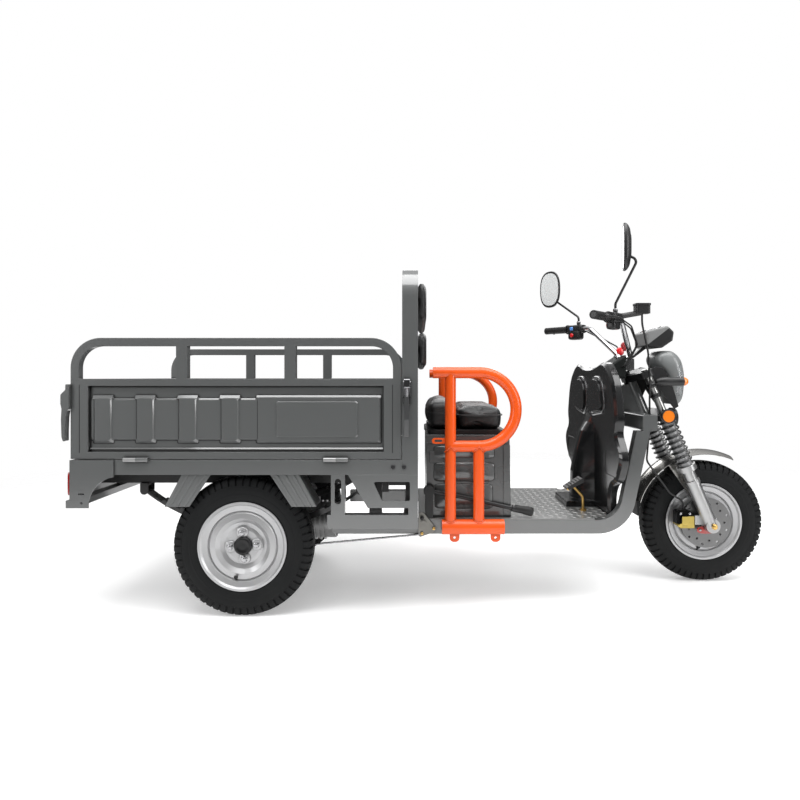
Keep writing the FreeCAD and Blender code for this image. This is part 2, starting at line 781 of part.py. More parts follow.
# Tail lamps: shallow lenses on the rear cross member.
lamp_depth, lamp_corner = 12, 10
lamp = plate("YZ_Plane", oblong(outer + 20, outer + 150, beam_top - 69, beam_top - 1),
             cheek_back - lamp_depth, cheek_back, rounds=[(lamp_corner, [0, 1, 2, 3])], crowns=[(5, "low")])
node("tail_lamps", pair(lamp))

# Rear mudguards: pressed legs beside each wheel, with a folded top sheet under the bed.
fender_y = outer + 8
fender_width = 108
fender_foot = d.bed_underside - d.fender_drop
sheet_t = d.fender_sheet
leg_root, leg_tip = (110, 218), (190, 282)
crown_reach, crown_z = 180, bed_top_z - 12
rib_depth = 3
legs = []
for reach in (-1, 1):
    def along(share, z_top=d.bed_underside, z_low=fender_foot):
        top = rear_axle_x + (leg_root[0] + (leg_root[1] - leg_root[0]) * share) * reach
        low = rear_axle_x + (leg_tip[0] + (leg_tip[1] - leg_tip[0]) * share) * reach
        return (top, z_top), (low, z_low)

    def strip(first, last, low, high):
        corners = [along(first)[0], along(last)[0], along(last)[1], along(first)[1]]
        return plate("XZ_Plane", corners if reach > 0 else corners[::-1], low, high)

    legs.append(strip(0, 1, fender_y, fender_y + sheet_t))
    for first in (0.16, 0.46, 0.74):
        legs.append(strip(first, first + 0.09, fender_y - rib_depth, fender_y + 1))
    legs.append(strip(0.975, 1, fender_y, fender_y + fender_width))
    rise = [(rear_axle_x + leg_root[1] * reach, d.bed_underside),
            (rear_axle_x + crown_reach * reach, crown_z + 2),
            (rear_axle_x + (crown_reach - 4) * reach, crown_z), (rear_axle_x + (leg_root[1] - 4) * reach,
                                                                 d.bed_underside - 2)]
    legs.append(plate("XZ_Plane", rise if reach > 0 else rise[::-1], fender_y, fender_y + fender_width))
legs.append(plate("XZ_Plane",
                  [(rear_axle_x - leg_root[1], d.bed_underside), (rear_axle_x + leg_root[1], d.bed_underside),
                   (rear_axle_x + crown_reach, crown_z), (rear_axle_x - crown_reach, crown_z)],
                  fender_y, fender_y + sheet_t))
legs.append(box(rear_axle_x - crown_reach, rear_axle_x + crown_reach, fender_y, fender_y + fender_width,
                crown_z, bed_top_z - skirt))
node("rear_fenders", pair(fuse(legs)))

# Leaf springs: arched packs of leaves under the rails, with shackles at both ends.
leaf_z = axle_z + d.axle_tube_radius
shackle_drop = 30
spring_rise = rail_bottom - shackle_drop - 4 - leaf_z
spring_arc = (d.spring_half_length * d.spring_half_length + spring_rise * spring_rise) / (spring_rise * 2)
leaf_step = 0.17


def leaf(index):
    """One leaf of a pack: a strip of spring steel on an arc about a centre above the axle."""
    thick = d.leaf_thickness.value
    radius = spring_arc.value - thick * index
    reach = math.asin(d.spring_half_length.value / spring_arc.value) * (1 - leaf_step * index)
    centre = Vector(rear_axle_x.value, rail_y.value, leaf_z.value + spring_arc.value)
    width = Vector(0, d.leaf_width.value / 2, 0)

    def on_arc(r, angle):
        return centre + Vector(r * math.sin(angle), 0, -r * math.cos(angle)) - width

    inner = radius - thick
    outer_arc = Part.Arc(on_arc(radius, -reach), on_arc(radius, 0), on_arc(radius, reach)).toShape()
    inner_arc = Part.Arc(on_arc(inner, reach), on_arc(inner, 0), on_arc(inner, -reach)).toShape()
    ends = [Part.LineSegment(on_arc(radius, reach), on_arc(inner, reach)).toShape(),
            Part.LineSegment(on_arc(inner, -reach), on_arc(radius, -reach)).toShape()]
    face = Part.Face(Part.Wire([outer_arc, ends[0], inner_arc, ends[1]]))
    return face.extrude(width * 2)


pack = [shaped(leaf(index)) for index in range(int(d.leaf_count.value))]
half_leaf = d.leaf_width / 2
shackle_sheet, shackle_half, eye_radius = 6, 16, 13
for reach in (-1, 1):
    x = rear_axle_x + d.spring_half_length * reach
    x0, x1 = x - shackle_half, x + shackle_half
    pack.append(rod(x, rail_y - half_leaf, rail_bottom - shackle_drop, eye_radius, d.leaf_width, ALONG_Y))
    cheek_low = rail_bottom - shackle_drop - shackle_half
    for y in (rail_y - half_leaf - shackle_sheet, rail_y + half_leaf):
        pack.append(plate("XZ_Plane", oblong(x0, x1, cheek_low, rail_bottom), y, y + shackle_sheet,
                          rounds=[(shackle_half - 0.5, [0, 1])]))
    pack.append(box(x0, x1, rail_y - half_leaf - shackle_sheet, rail_y + half_leaf + shackle_sheet,
                    rail_bottom - shackle_sheet, rail_bottom))
node("leaf_springs", pair(fuse(pack)))

# Rear axle: a beam tube with a differential housing, brake backing plates and stub shafts.
axle_end = d.rear_track / 2
hub_inset, stub_reach = 72, 20
diff_half, diff_radius = 52, 96
half_tube = axle_end - hub_inset
axle = [rod(rear_axle_x, -half_tube, axle_z, d.axle_tube_radius, half_tube * 2, ALONG_Y),
        rod(rear_axle_x, -axle_end - stub_reach, axle_z, d.stub_radius, (axle_end + stub_reach) * 2, ALONG_Y),
        turned([(-110, 0), (-110, 44), (-80, 60), (-diff_half, diff_radius), (diff_half, diff_radius),
                (80, 60), (110, 44), (110, 0)],
               (rear_axle_x, 0, axle_z), rounds=[(18, [3, 4]), (14, [2, 5])])]
backing_radius, backing_sheet = 84, 4
for side in (-1, 1):
    axle.append(rod(rear_axle_x, (axle_end - hub_inset - 2) * side - backing_sheet / 2, axle_z,
                    backing_radius, backing_sheet, ALONG_Y))
node("rear_axle", fuse(axle))

# Drive motor: a finned round motor in front of the differential.
motor_back = rear_axle_x + diff_radius + d.part_gap
fin_count, fin_pitch, fin_width, fin_height = 7, 20, 6, 8
motor = [rod(motor_back, 0, axle_z, d.motor_radius, d.motor_length, ALONG_X)]
for fin in range(fin_count):
    fin_x = motor_back + 30 + fin * fin_pitch
    motor.append(rod(fin_x, 0, axle_z, d.motor_radius + fin_height, fin_width, ALONG_X))
motor.append(rod(motor_back + d.motor_length, 0, axle_z, d.motor_radius - 18, 14, ALONG_X))
node("drive_motor", fuse(motor))

# Wheels: a two-flange rim, a dished steel disc with raised pads round its bolts, and a tyre.
rim_r = d.rim_radius
half_rim = d.tyre_width / 2 - 4
tyre_half = d.tyre_width / 2
RIM = [(half_rim, rim_r), (half_rim, rim_r - 8), (half_rim - 8, rim_r - 16), (-half_rim + 8, rim_r - 16),
       (-half_rim, rim_r - 8), (-half_rim, rim_r), (-half_rim + 5, rim_r), (-half_rim + 9, rim_r - 10),
       (half_rim - 9, rim_r - 10), (half_rim - 5, rim_r)]
bead_r, tread_r = rim_r - 9.7, d.wheel_radius
TYRE = [(-tyre_half + 15, bead_r), (tyre_half - 15, bead_r), (tyre_half - 8, rim_r + 2),
        (tyre_half - 2, rim_r + 14), (tyre_half, rim_r + 44), (tyre_half - 4, tread_r - 24),
        (tyre_half - 15, tread_r - 5), (0, tread_r), (-tyre_half + 15, tread_r - 5),
        (-tyre_half + 4, tread_r - 24), (-tyre_half, rim_r + 44), (-tyre_half + 2, rim_r + 14),
        (-tyre_half + 8, rim_r + 2)]
bolt_face = half_rim - 22
bolt_turns = [5, 95, 185, 275]


def tyre(centre):
    return turned(TYRE, centre, rounds=[(9, [6, 8]), (16, [5, 9])])


def disc(centre, side, hub_bore):
    """The dished centre of a wheel, seen from outside: a stepped ring, a bowl and a raised bolt face."""
    face = [(half_rim - 6, rim_r - 12), (half_rim - 10, rim_r - 34), (half_rim - 16, rim_r - 38),
            (half_rim - 10, rim_r - 44), (half_rim - 8, rim_r - 64), (half_rim - 20, rim_r - 80),
            (half_rim - 26, rim_r - 96), (bolt_face, rim_r - 108), (bolt_face, hub_bore),
            (bolt_face - 5, hub_bore), (bolt_face - 5, rim_r - 106), (half_rim - 31, rim_r - 94),
            (half_rim - 25, rim_r - 76), (half_rim - 14, rim_r - 60), (half_rim - 16, rim_r - 46),
            (half_rim - 22, rim_r - 36), (half_rim - 16, rim_r - 30), (half_rim - 12, rim_r - 12)]
    return turned(sided(face, side), centre)


def wheel_bolts(centre, face_y, side):
    """Round the hub: a raised oval pad and a bolt head at each of four turns."""
    things = []
    for degrees in bolt_turns:
        angle = math.radians(degrees)
        x = centre[0] + d.bolt_circle * math.cos(angle)
        z = centre[2] + d.bolt_circle * math.sin(angle)
        for radius, rise in ((21, 4), (8.5, 12)):
            low, _ = in_order(face_y - side, face_y + rise * side)
            things.append(rod(x, low, z, radius, rise + 1, ALONG_Y))
    return things


bore = d.stub_radius + d.running_gap
drum_inner, drum_radius = -62, 78
cap_radius, cap_front = 34, half_rim - 6
for label, side in (("right", -1), ("left", 1)):
    centre = (rear_axle_x, axle_end * side, axle_z)
    node(f"rear_tyre_{label}", tyre(centre))
    drum = [(half_rim - 26, bore), (half_rim - 26, drum_radius - 4), (drum_inner, drum_radius),
            (drum_inner, drum_radius - 7), (half_rim - 33, drum_radius - 10), (half_rim - 33, bore)]
    cap = [(bolt_face - 1, bore), (bolt_face - 1, cap_radius), (cap_front - 6, cap_radius),
           (cap_front, cap_radius - 6), (cap_front, 0), (cap_front - 5, 0), (cap_front - 5, bore)]
    parts = [turned(RIM, centre), disc(centre, side, bore)]
    parts += [turned(sided(profile, side), centre) for profile in (drum, cap)]
    parts += wheel_bolts(centre, (axle_end + bolt_face) * side, side)
    node(f"rear_wheel_{label}", fuse(parts))

front_centre = (front_axle_x, 0, axle_z)
node("front_tyre", tyre(front_centre))
hub_bore = d.axle_radius + d.running_gap
hub_radius, hub_waist = 36, 30
parts = [turned(RIM, front_centre), disc(front_centre, 1, hub_bore), disc(front_centre, -1, hub_bore)]
parts.append(turned([(-61, hub_bore), (-61, hub_radius), (-30, hub_radius), (-30, hub_waist), (30, hub_waist),
                     (30, hub_radius), (70, hub_radius), (70, hub_bore)], front_centre))
for side in (-1, 1):
    parts += wheel_bolts(front_centre, bolt_face * side, side)
node("front_wheel", fuse(parts))

# Brake disc: a drilled ring on a bell, beside the front hub.
disc_y = -66
ring = turned([(disc_y, 38), (disc_y, d.disc_radius), (disc_y + 4, d.disc_radius), (disc_y + 4, 38)],
              front_centre)
bell = turned([(disc_y, hub_bore), (disc_y, 64), (disc_y + 4.7, 64), (disc_y + 4.7, hub_bore)], front_centre)
holes = []
hole_count, hole_radius = 18, 5
for turn in range(hole_count):
    angle = 2 * math.pi * turn / hole_count
    reach = d.disc_radius - 30 + 16 * (turn % 2)
    holes.append(rod(front_axle_x + reach * math.cos(angle), disc_y - 4, axle_z + reach * math.sin(angle),
                     hole_radius, 12, ALONG_Y))
node("brake_disc", cut(fuse([ring, bell]), holes))

# Footboard frame: two box rails that sweep up at the front into a cross beam and the steering neck.
lean = Size(math.tan(math.radians(d.deck_lean.value)), "tan(Dims.deck_lean * 1 deg)")
deck_mid_z = d.deck_underside + d.deck_tube_height / 2
corner_x = cab_x + d.deck_corner
half_deep = d.deck_tube_height / 2
rail_start = cab_x - d.low_beam_back
deck_inner_y = d.deck_half_width - d.deck_tube_width


def up_line(offset, z):
    """Where the leaning upright is at a height, set off forwards from its centre line."""
    return corner_x + offset + (z - deck_mid_z) * lean


deck_side = [(rail_start, d.deck_underside), (up_line(half_deep, d.deck_underside), d.deck_underside),
             (up_line(half_deep, d.deck_top), d.deck_top), (up_line(-half_deep, d.deck_top), d.deck_top),
             (up_line(-half_deep, deck_top_z), deck_top_z), (rail_start, deck_top_z)]
frame_parts = []
for side in (-1, 1):
    low, high = in_order(d.deck_half_width * side, deck_inner_y * side)
    frame_parts.append(plate("XZ_Plane", deck_side, low, high,
                             rounds=[(d.deck_bend, [1]), (d.deck_bend - d.deck_tube_height, [4])]))
cross_width, cross_drop = 40, 12
cross_end = d.deck_half_width - 20
for ahead in (-60, 160, 420, 640):
    x = cab_x + ahead
    frame_parts.append(box(x, x + cross_width, -cross_end, cross_end,
                           d.deck_underside + cross_drop, deck_top_z))
yoke_x0 = up_line(-half_deep, d.deck_top) + 25
yoke_x1 = yoke_x0 + d.yoke_depth
yoke_top = d.deck_top + d.yoke_height
frame_parts.append(plate("XZ_Plane", oblong(yoke_x0, yoke_x1, d.deck_top, yoke_top),
                         -d.deck_half_width, d.deck_half_width, rounds=[(8, [0, 1, 2, 3])]))

# The raked steering line: places along the fork are measured up the legs from the wheel's axle.
rake_sin, rake_cos = sine(d.rake), cosine(d.rake)


def fork_x(along, behind=0):
    return front_axle_x - Size.of(along) * rake_sin - Size.of(behind) * rake_cos


def fork_z(along, behind=0):
    return axle_z + Size.of(along) * rake_cos - Size.of(behind) * rake_sin


def tilted(thing, along, y, behind=0):
    """Stands a piece on the fork's own line, leaning back by the rake."""
    at(thing, fork_x(along, behind), y, fork_z(along, behind), Rotation(Vector(0, -1, 0), d.rake.value))
    thing.setExpression("Placement.Rotation.Angle", f"{d.rake.text} * 1 deg")
    return thing


def fork_rod(start, end, y, radius, behind=0):
    thing = doc.addObject("Part::Cylinder", "Rod")
    bind(thing, "Radius", radius)
    bind(thing, "Height", Size.of(end) - Size.of(start))
    return tilted(thing, start, y, behind)


head_low = d.lower_clamp + d.clamp_height + 1
head_high = d.upper_clamp - 1
head_tube_radius, neck_half = 27, 22
neck_points = [(yoke_x0 + 10, yoke_top - 2), (yoke_x1, d.deck_top + 8),
               (fork_x(head_low + 12, d.fork_offset), fork_z(head_low + 12, d.fork_offset)),
               (fork_x(head_high - 10, d.fork_offset), fork_z(head_high - 10, d.fork_offset)),
               (yoke_x0 + 10, yoke_top + 108)]
neck = plate("XZ_Plane", neck_points, -neck_half, neck_half)
head_tube = fork_rod(head_low, head_high, 0, head_tube_radius, d.fork_offset)
bore = fork_rod(head_low - 60, head_high + 60, 0, d.stem_radius + d.running_gap, d.fork_offset)
frame_parts.append(cut(fuse([neck, head_tube]), bore))
node("front_frame", fuse(frame_parts))

# Floor plate: a chequered sheet between the rails, narrowed at the toe between the rising uprights.
floor_top = deck_top_z + d.part_gap + d.deck_plate
floor_y, toe_y = d.deck_half_width - 1, deck_inner_y - 2
floor_x1, toe_x1 = corner_x - 112, corner_x - 16
node("floor_plate", plate("XY_Plane", [(cab_x + 1, -floor_y), (floor_x1, -floor_y), (floor_x1, -toe_y),
                                       (toe_x1, -toe_y), (toe_x1, toe_y), (floor_x1, toe_y),
                                       (floor_x1, floor_y), (cab_x + 1, floor_y)],
                          deck_top_z + d.part_gap, floor_top))

# Seat box: a sheet-steel housing for the batteries, with a lid band, embossed fields and corner strips.
seat_x0, seat_x1 = cab_x + d.seat_box_back, cab_x + d.seat_box_front
seat_y = d.seat_box_half_width
seat_z0 = floor_top + d.part_gap
box_wall = 4
box_height = d.seat_box_top - seat_z0
box_top_round = 22
shell = plate("XZ_Plane", [(seat_x0, seat_z0), (seat_x1, seat_z0), (seat_x1 - 6, d.seat_box_top),
                           (seat_x0, d.seat_box_top)], -seat_y, seat_y, rounds=[(box_top_round, [2])])
room = box(seat_x0 + box_wall, seat_x1 - 3 * box_wall, -seat_y + box_wall, seat_y - box_wall,
           seat_z0 + box_wall, d.seat_box_top - 2 * box_wall)
pressed = [("lid", -4, 318, 0.9, 0.995, 4), ("upper field", 12, 206, 0.66, 0.80, 2),
           ("lower field", 12, 206, 0.08, 0.37, 2),
           ("catch", 222, 250, 0.72, 0.78, 3), ("corner strip", 308, 334, 0.03, 0.88, 2)]
fields = []
for _, x0, x1, z0, z1, rise in pressed:
    outline = oblong(seat_x0 + x0, seat_x0 + x1, seat_z0 + box_height * z0, seat_z0 + box_height * z1)
    field = plate("XZ_Plane", outline, -seat_y - rise, -seat_y + 1, rounds=[(5, [0, 1, 2, 3])])
    fields += [field, mirrored(field)]
node("seat_box", fuse([cut(shell, room), *fields]))
battery_half, battery_height = 230, 240
node("battery_pack", box(seat_x0 + 30, seat_x1 - 40, -battery_half, battery_half,
                         seat_z0 + box_wall, seat_z0 + box_wall + battery_height))

# Seat: a steel pan, a bench cushion and a raised upholstered rear lip.
pan_z = d.seat_box_top + d.part_gap
pan_top = pan_z + d.seat_pan
pan_y, cushion_y = seat_y - 12, seat_y - 18
node("seat_base", plate("XY_Plane", oblong(seat_x0 + 6, seat_x1 - 20, -pan_y, pan_y), pan_z, pan_top,
                        rounds=[(30, [0, 1, 2, 3])]))
cushion_z = pan_top + d.part_gap
lip_x1 = seat_x0 + d.seat_lip_depth
node("seat_cushion", plate("XY_Plane", oblong(lip_x1 + 1, seat_x1 - 22, -cushion_y, cushion_y),
                           cushion_z, cushion_z + d.cushion_height,
                            rounds=[(40, [1, 2])], crowns=[(24, "high")]))
node("seat_lip", plate("XZ_Plane", oblong(seat_x0 + 4, lip_x1, cushion_z, d.seat_lip_top),
                       -cushion_y, cushion_y,
                       rounds=[(24, [2, 3])], crowns=[(16, "low"), (16, "high")]))

# Backrest pads: two wide upholstered pads on the hoop's cross bars.
pads = []
pad_x0 = cab_x + d.part_gap
for level, half in ((d.upper_pad_level, 88), (d.lower_pad_level, 80)):
    pads.append(plate("YZ_Plane", oblong(-d.pad_half_width, d.pad_half_width, level - half, level + half),
                      pad_x0, pad_x0 + d.pad_depth, rounds=[(30, [0, 1, 2, 3])], crowns=[(10, "high")]))
node("backrest_pads", group(pads))

# Side guards: a bent tube loop on two posts, each on a foot tube that is bolted to the floor rail.
guard_r = d.guard_tube / 2
guard_y = -d.guard_plane
loop_r = (d.guard_loop_top - d.guard_loop_bottom) / 2
loop_mid = d.guard_loop_bottom + loop_r
loop_x = cab_x + d.guard_loop_front - guard_r - loop_r
post_1 = cab_x + d.guard_post_back
post_2 = cab_x + d.guard_post_front
slimmer = 0.8


def guard_loop():
    """The loop's tube: along the top, round the front and back along the bottom to the rear post."""
    x0, x1 = (cab_x + d.guard_back).value, loop_x.value
    y, top, low, r = guard_y.value, d.guard_loop_top.value, d.guard_loop_bottom.value, loop_r.value
    run = [Part.LineSegment(Vector(x0, y, top), Vector(x1, y, top)).toShape(),
           Part.Arc(Vector(x1, y, top), Vector(x1 + r, y, loop_mid.value), Vector(x1, y, low)).toShape(),
           Part.LineSegment(Vector(x1, y, low), Vector(post_1.value, y, low)).toShape()]
    ring = Part.Wire([Part.makeCircle(guard_r.value, Vector(x0, y, top), Vector(1, 0, 0))])
    return Part.Wire(run).makePipeShell([ring], True, False)


foot_z = d.deck_underside + 36
foot_r = d.guard_foot_height / 2
foot_x = cab_x + d.guard_foot_back
guard = [shaped(guard_loop()),
         rod(post_1, guard_y, foot_z, guard_r - slimmer, d.guard_loop_top - foot_z),
         rod(post_2, guard_y, foot_z, guard_r - slimmer, d.guard_loop_bottom - foot_z),
         rod(foot_x, guard_y, foot_z, foot_r, d.guard_foot_length, ALONG_X)]
ear_half, ear_sheet, stand_off_r = 19, 4, 12
ear_low, ear_hole_z = d.deck_underside - 22, d.deck_underside - 6
for ahead in (d.ear_back, d.ear_front):
    x = cab_x + ahead
    ear = plate("XZ_Plane", oblong(x - ear_half, x + ear_half, ear_low, foot_z),
                guard_y - ear_sheet, guard_y + ear_sheet, rounds=[(16, [0, 1])])
    guard.append(cut(ear, rod(x, guard_y - 10, ear_hole_z, d.tie_hole, 20, ALONG_Y)))
    guard.append(rod(x, guard_y, foot_z, stand_off_r, d.guard_plane - d.deck_half_width, ALONG_Y))
eye_z = d.guard_loop_bottom + 21
eye_half, eye_slot = 11, 5
eye_x0 = cab_x + 54
guard.append(plate("XZ_Plane", oblong(eye_x0, post_1, eye_z - eye_half, eye_z + eye_half),
                   guard_y - ear_sheet, guard_y + ear_sheet,
                   holes=[oblong(eye_x0 + 10, eye_x0 + 40, eye_z - eye_slot, eye_z + eye_slot)],
                   rounds=[(eye_half - 0.1, [0, 3]), (eye_slot - 0.1, [4, 5, 6, 7])]))
node("side_guards", pair(fuse(guard)))

# Parking brake: a long hand lever beside the seat box, on a pivot plate at the floor rail.
lever_y = -d.deck_half_width + 17
lever_z = 452
pivot_x = cab_x + 44
plate_half = 14
lever = [tube([(pivot_x, lever_y, lever_z), (cab_x + 160, lever_y, lever_z - 22),
               (cab_x + 380, lever_y, lever_z - 71)], 60, 8),
         rod(cab_x + 372, lever_y, lever_z - 69, 13, 84, Rotation(Vector(0, 1, 0), 103.5)),
         rod(pivot_x, lever_y - plate_half, lever_z, 22, 2 * plate_half, ALONG_Y),
         box(pivot_x - 16, pivot_x + 16, lever_y - plate_half, lever_y + plate_half,
             floor_top + d.part_gap, lever_z)]
node("parking_brake", fuse(lever))

# Brake linkage: a bell-crank plate on each side and the rod that runs back to the rear axle.
link_y = -d.deck_half_width - 8
crank = plate("XZ_Plane", [(cab_x + 2, 370), (cab_x + 2, 272), (cab_x + 60, 292), (cab_x + 74, 306),
                           (cab_x + 20, 372)], link_y, link_y + 8 - 0.1, rounds=[(8, [0, 1, 3, 4])])
link_boss = rod(cab_x + 22, link_y - 6, 330, 11, 8, ALONG_Y)
pull_rod = tube([(cab_x + 6, link_y + 2, 284), (rear_axle_x + 150, link_y + 2, 236),
                 (rear_axle_x + 88, link_y + 2, 262)], 60, 4)
node("brake_linkage", fuse([crank, link_boss, pull_rod]))

# Brake pedal: a ribbed pad on a cranked arm at the right of the floor.
pedal_y, pedal_half = -190, 32
pedal_root_x, pedal_tip_x = corner_x - 120, corner_x - 170
pedal = [tube([(pedal_root_x, pedal_y, floor_top + 4), (pedal_root_x - 2, pedal_y, floor_top + 60),
               (pedal_tip_x, pedal_y, floor_top + 112)], 30, 6),
         rod(pedal_root_x, pedal_y, floor_top + d.part_gap, 13, 9),
         plate("XZ_Plane", [(pedal_tip_x - 34, 440), (pedal_tip_x - 18, 434), (pedal_tip_x + 48, 470),
                            (pedal_tip_x + 40, 486)],
               pedal_y - pedal_half, pedal_y + pedal_half, rounds=[(5, [0, 1, 2, 3])])]
node("brake_pedal", fuse(pedal))

# Leg shield: a winged moulding in front of the rider, with a centre tunnel, two pockets and a rolled edge.
shield_x = corner_x - d.shield_set_back
shield_front = shield_x + d.shield_depth
wall = d.shield_wall
stand_z = floor_top + d.part_gap
WING = [(286, stand_z), (286, 430), (320, 477), (381, 498), (446, 590), (363, 680), (386, 735), (341, 893),
        (217, 974), (88, 942)]


def eased(corners, ease):
    """A closed outline of straight runs, with each corner eased over a share of half its shorter run."""
    edges, last_end, first_start = [], None, None
    for n, here in enumerate(corners):
        before, after = corners[n - 1], corners[(n + 1) % len(corners)]
        reach = ease[n] * min((before - here).Length, (after - here).Length) / 2
        start = here + (before - here).normalize() * reach
        end = here + (after - here).normalize() * reach
        if last_end:
            edges.append(Part.LineSegment(last_end, start).toShape())
        if reach:
            bend = Part.BezierCurve()
            bend.setPoles([start, here, end])
            edges.append(bend.toShape())
        first_start, last_end = first_start or start, end
    edges.append(Part.LineSegment(last_end, first_start).toShape())
    return Part.Wire(edges)


def shield_edge(x, inset):
    """The moulding's edge at a place along the vehicle, drawn in by a margin, with a square foot."""
    middle = 660
    half = []
    for y, z in WING:
        level = number(z)
        half.append(Vector(number(x), inset - y, level + (inset if level < middle else -inset)))
    other = [Vector(point.x, -point.y, point.z) for point in half]
    ease = [0] + [0.9] * (2 * len(WING) - 2) + [0]
    return eased(half + other[::-1], ease)


def shield_form(steps):
    """A solid through the moulding's edge at each (place, margin)."""
    return shaped(Part.makeLoft([shield_edge(x, inset) for x, inset in steps], True, True))


roll = 10
panel = shield_form([(shield_x, roll), (shield_x + roll, 0), (shield_front, 0)])
thin = wall.value
inside = shield_form([(shield_x + wall, roll + thin), (shield_x + roll + wall, thin),
                      (shield_front + 1, thin)])

# Its tunnel: at each height below the pockets, the crest's reach towards the rider, the half widths of
# the base and of the crest.
TUNNEL = [(748, -2, 56, 20), (705, 15, 84, 28), (665, 38, 96, 34), (584, 60, 100, 40), (485, 78, 100, 42)]
FOOT = (84, 100, 44)


def tunnel(margin):
    """The tunnel's outside, or with a margin its hollow, through its level sections."""
    x_base = number(shield_x + wall + 2)
    sections = []
    levels, foot_z = (TUNNEL[1:], number(stand_z) - 1) if margin else (TUNNEL, number(stand_z))
    for z, proud, half_base, half_crest in [*levels, (foot_z, *FOOT)]:
        x_crest = number(shield_x) - proud + margin
        base, crest = half_base - margin, half_crest - margin / 2
        corners = [Vector(x_base, -base, z), Vector(x_crest, -crest, z), Vector(x_crest, crest, z),
                   Vector(x_base, base, z)]
        sections.append(eased(corners, [0, 0.9, 0.9, 0]))
    return shaped(Part.makeLoft(sections, True, True))


keel, keel_inside = tunnel(0), tunnel(thin)
foot_reach, foot_half, foot_height = 125, 108, 24
foot_box = plate("XZ_Plane", oblong(shield_x - foot_reach, shield_x + wall, stand_z, stand_z + foot_height),
                 -foot_half, foot_half, rounds=[(8, [3])])
pocket_depth, pocket_corner, pocket_arch = 30, 34, 76
pocket_in, pocket_out, pocket_low, pocket_high = 34, 236, 748, 892
POCKET = [(-pocket_out, pocket_low + 20), (-pocket_in - 30, pocket_low), (-pocket_in, pocket_low + 30),
          (-pocket_in, pocket_high), (-pocket_out + 40, pocket_high)]


def pocket(inset, depth):
    """A pocket on the right of the tunnel: its outline drawn in, sunk forwards from the panel's face."""
    corners = [(y + (inset if y < -130 else -inset), z + (inset if z < 820 else -inset)) for y, z in POCKET]
    return plate("YZ_Plane", corners, shield_x - 14 + inset / 2, shield_x + depth,
                 rounds=[(pocket_corner - inset, [0, 1]), (pocket_arch - inset, [3, 4])])


lips = pocket(0, pocket_depth)
sinks = pocket(wall + 2, pocket_depth - wall)
wing_pocket = [(-392, 512), (-238, 512), (-252, 606), (-366, 606)]
wing_sink = plate("YZ_Plane", wing_pocket, shield_x - 1, shield_x + 2, rounds=[(14, [0, 1, 2, 3])])
skin_shell = cut(panel, [inside])
body = cut(fuse([skin_shell, keel, foot_box, lips, mirrored(lips)]),
           [keel_inside, sinks, mirrored(sinks), wing_sink, mirrored(wing_sink)])
node("leg_shield", body)

# Fork: two clamps on a steering stem carry the stanchions; springs and sliders hold the wheel.
leg_y = d.leg_spacing / 2
clamp_half = leg_y + 26
clamp_back = -d.fork_offset - 26


def clamp(along):
    """A bridge between the legs with a rounded end round each, reaching back to the stem."""
    outline = [(-30, -clamp_half), (24, -clamp_half), (30, 0), (24, clamp_half), (-30, clamp_half),
               (clamp_back, 26), (clamp_back, -26)]
    body = plate("XY_Plane", outline, 0, d.clamp_height, rounds=[(20, [0, 1, 3, 4]), (16, [5, 6])])
    return tilted(body, along, 0)


stem_end = d.upper_clamp + d.clamp_height + 16
press = 0.02
clamps = fuse([clamp(d.lower_clamp), clamp(d.upper_clamp),
               fork_rod(d.lower_clamp + 2, stem_end, 0, d.stem_radius, d.fork_offset)])
sockets = [fork_rod(d.lower_clamp - 60, d.upper_clamp + 90, leg_y * side, d.stanchion_radius + press)
           for side in (-1, 1)]
horn_x, horn_z = fork_x(d.lower_clamp - 6) + 62, 722
horn_radius = 44
horn = [rod(horn_x, 0, horn_z, horn_radius, 14, ALONG_X),
        rod(horn_x + 13, 0, horn_z, horn_radius - 5, 9, ALONG_X),
        rod(horn_x - 12, 0, horn_z, 26, 14, ALONG_X),
        box(fork_x(d.lower_clamp) + 10, horn_x - 8, -12, 12, horn_z + 16, horn_z + 24)]
lamp_back = cab_x + 1033
lamp_arm = box(fork_x(d.upper_clamp) + 10, lamp_back - d.part_gap, -14, 14, 914, 926)
node("fork_clamps", fuse([cut(clamps, sockets), *horn, lamp_arm]))

stanchion_end = d.upper_clamp + d.clamp_height + 6
stanchions = [fork_rod(d.slider_top - 40, stanchion_end, leg_y * side, d.stanchion_radius)
              for side in (-1, 1)]
node("fork_stanchions", group(stanchions))


def coil_spring(side):
    """A round-wire spring on the leg's line, between the slider's cup and the lower clamp."""
    turns_height = d.lower_clamp.value - d.slider_top.value - d.spring_wire.value - 2 * d.part_gap.value
    radius = d.spring_radius.value - d.spring_wire.value / 2
    helix = Part.makeHelix(turns_height / d.spring_coils.value, turns_height, radius)
    ring = Part.Wire([Part.makeCircle(d.spring_wire.value / 2, Vector(radius, 0, 0), Vector(0, 1, 0))])
    spring = Part.Wire(helix.Edges).makePipeShell([ring], True, True)
    return tilted(shaped(spring), d.slider_top + d.spring_wire / 2 + d.part_gap, leg_y * side)


def spring_sleeve(side):
    """The dust sleeve inside a spring: a tube round the stanchion, between the cup and the lower clamp."""
    start, end = d.slider_top + d.part_gap, d.lower_clamp - d.part_gap
    tube_outside = fork_rod(start, end, leg_y * side, d.spring_radius - d.spring_wire - sleeve_gap)
    return cut(tube_outside, fork_rod(start - 1, end + 1, leg_y * side, d.stanchion_radius + d.running_gap))


sleeve_gap = 3
node("fork_springs", group([form(side) for form in (coil_spring, spring_sleeve) for side in (-1, 1)]))

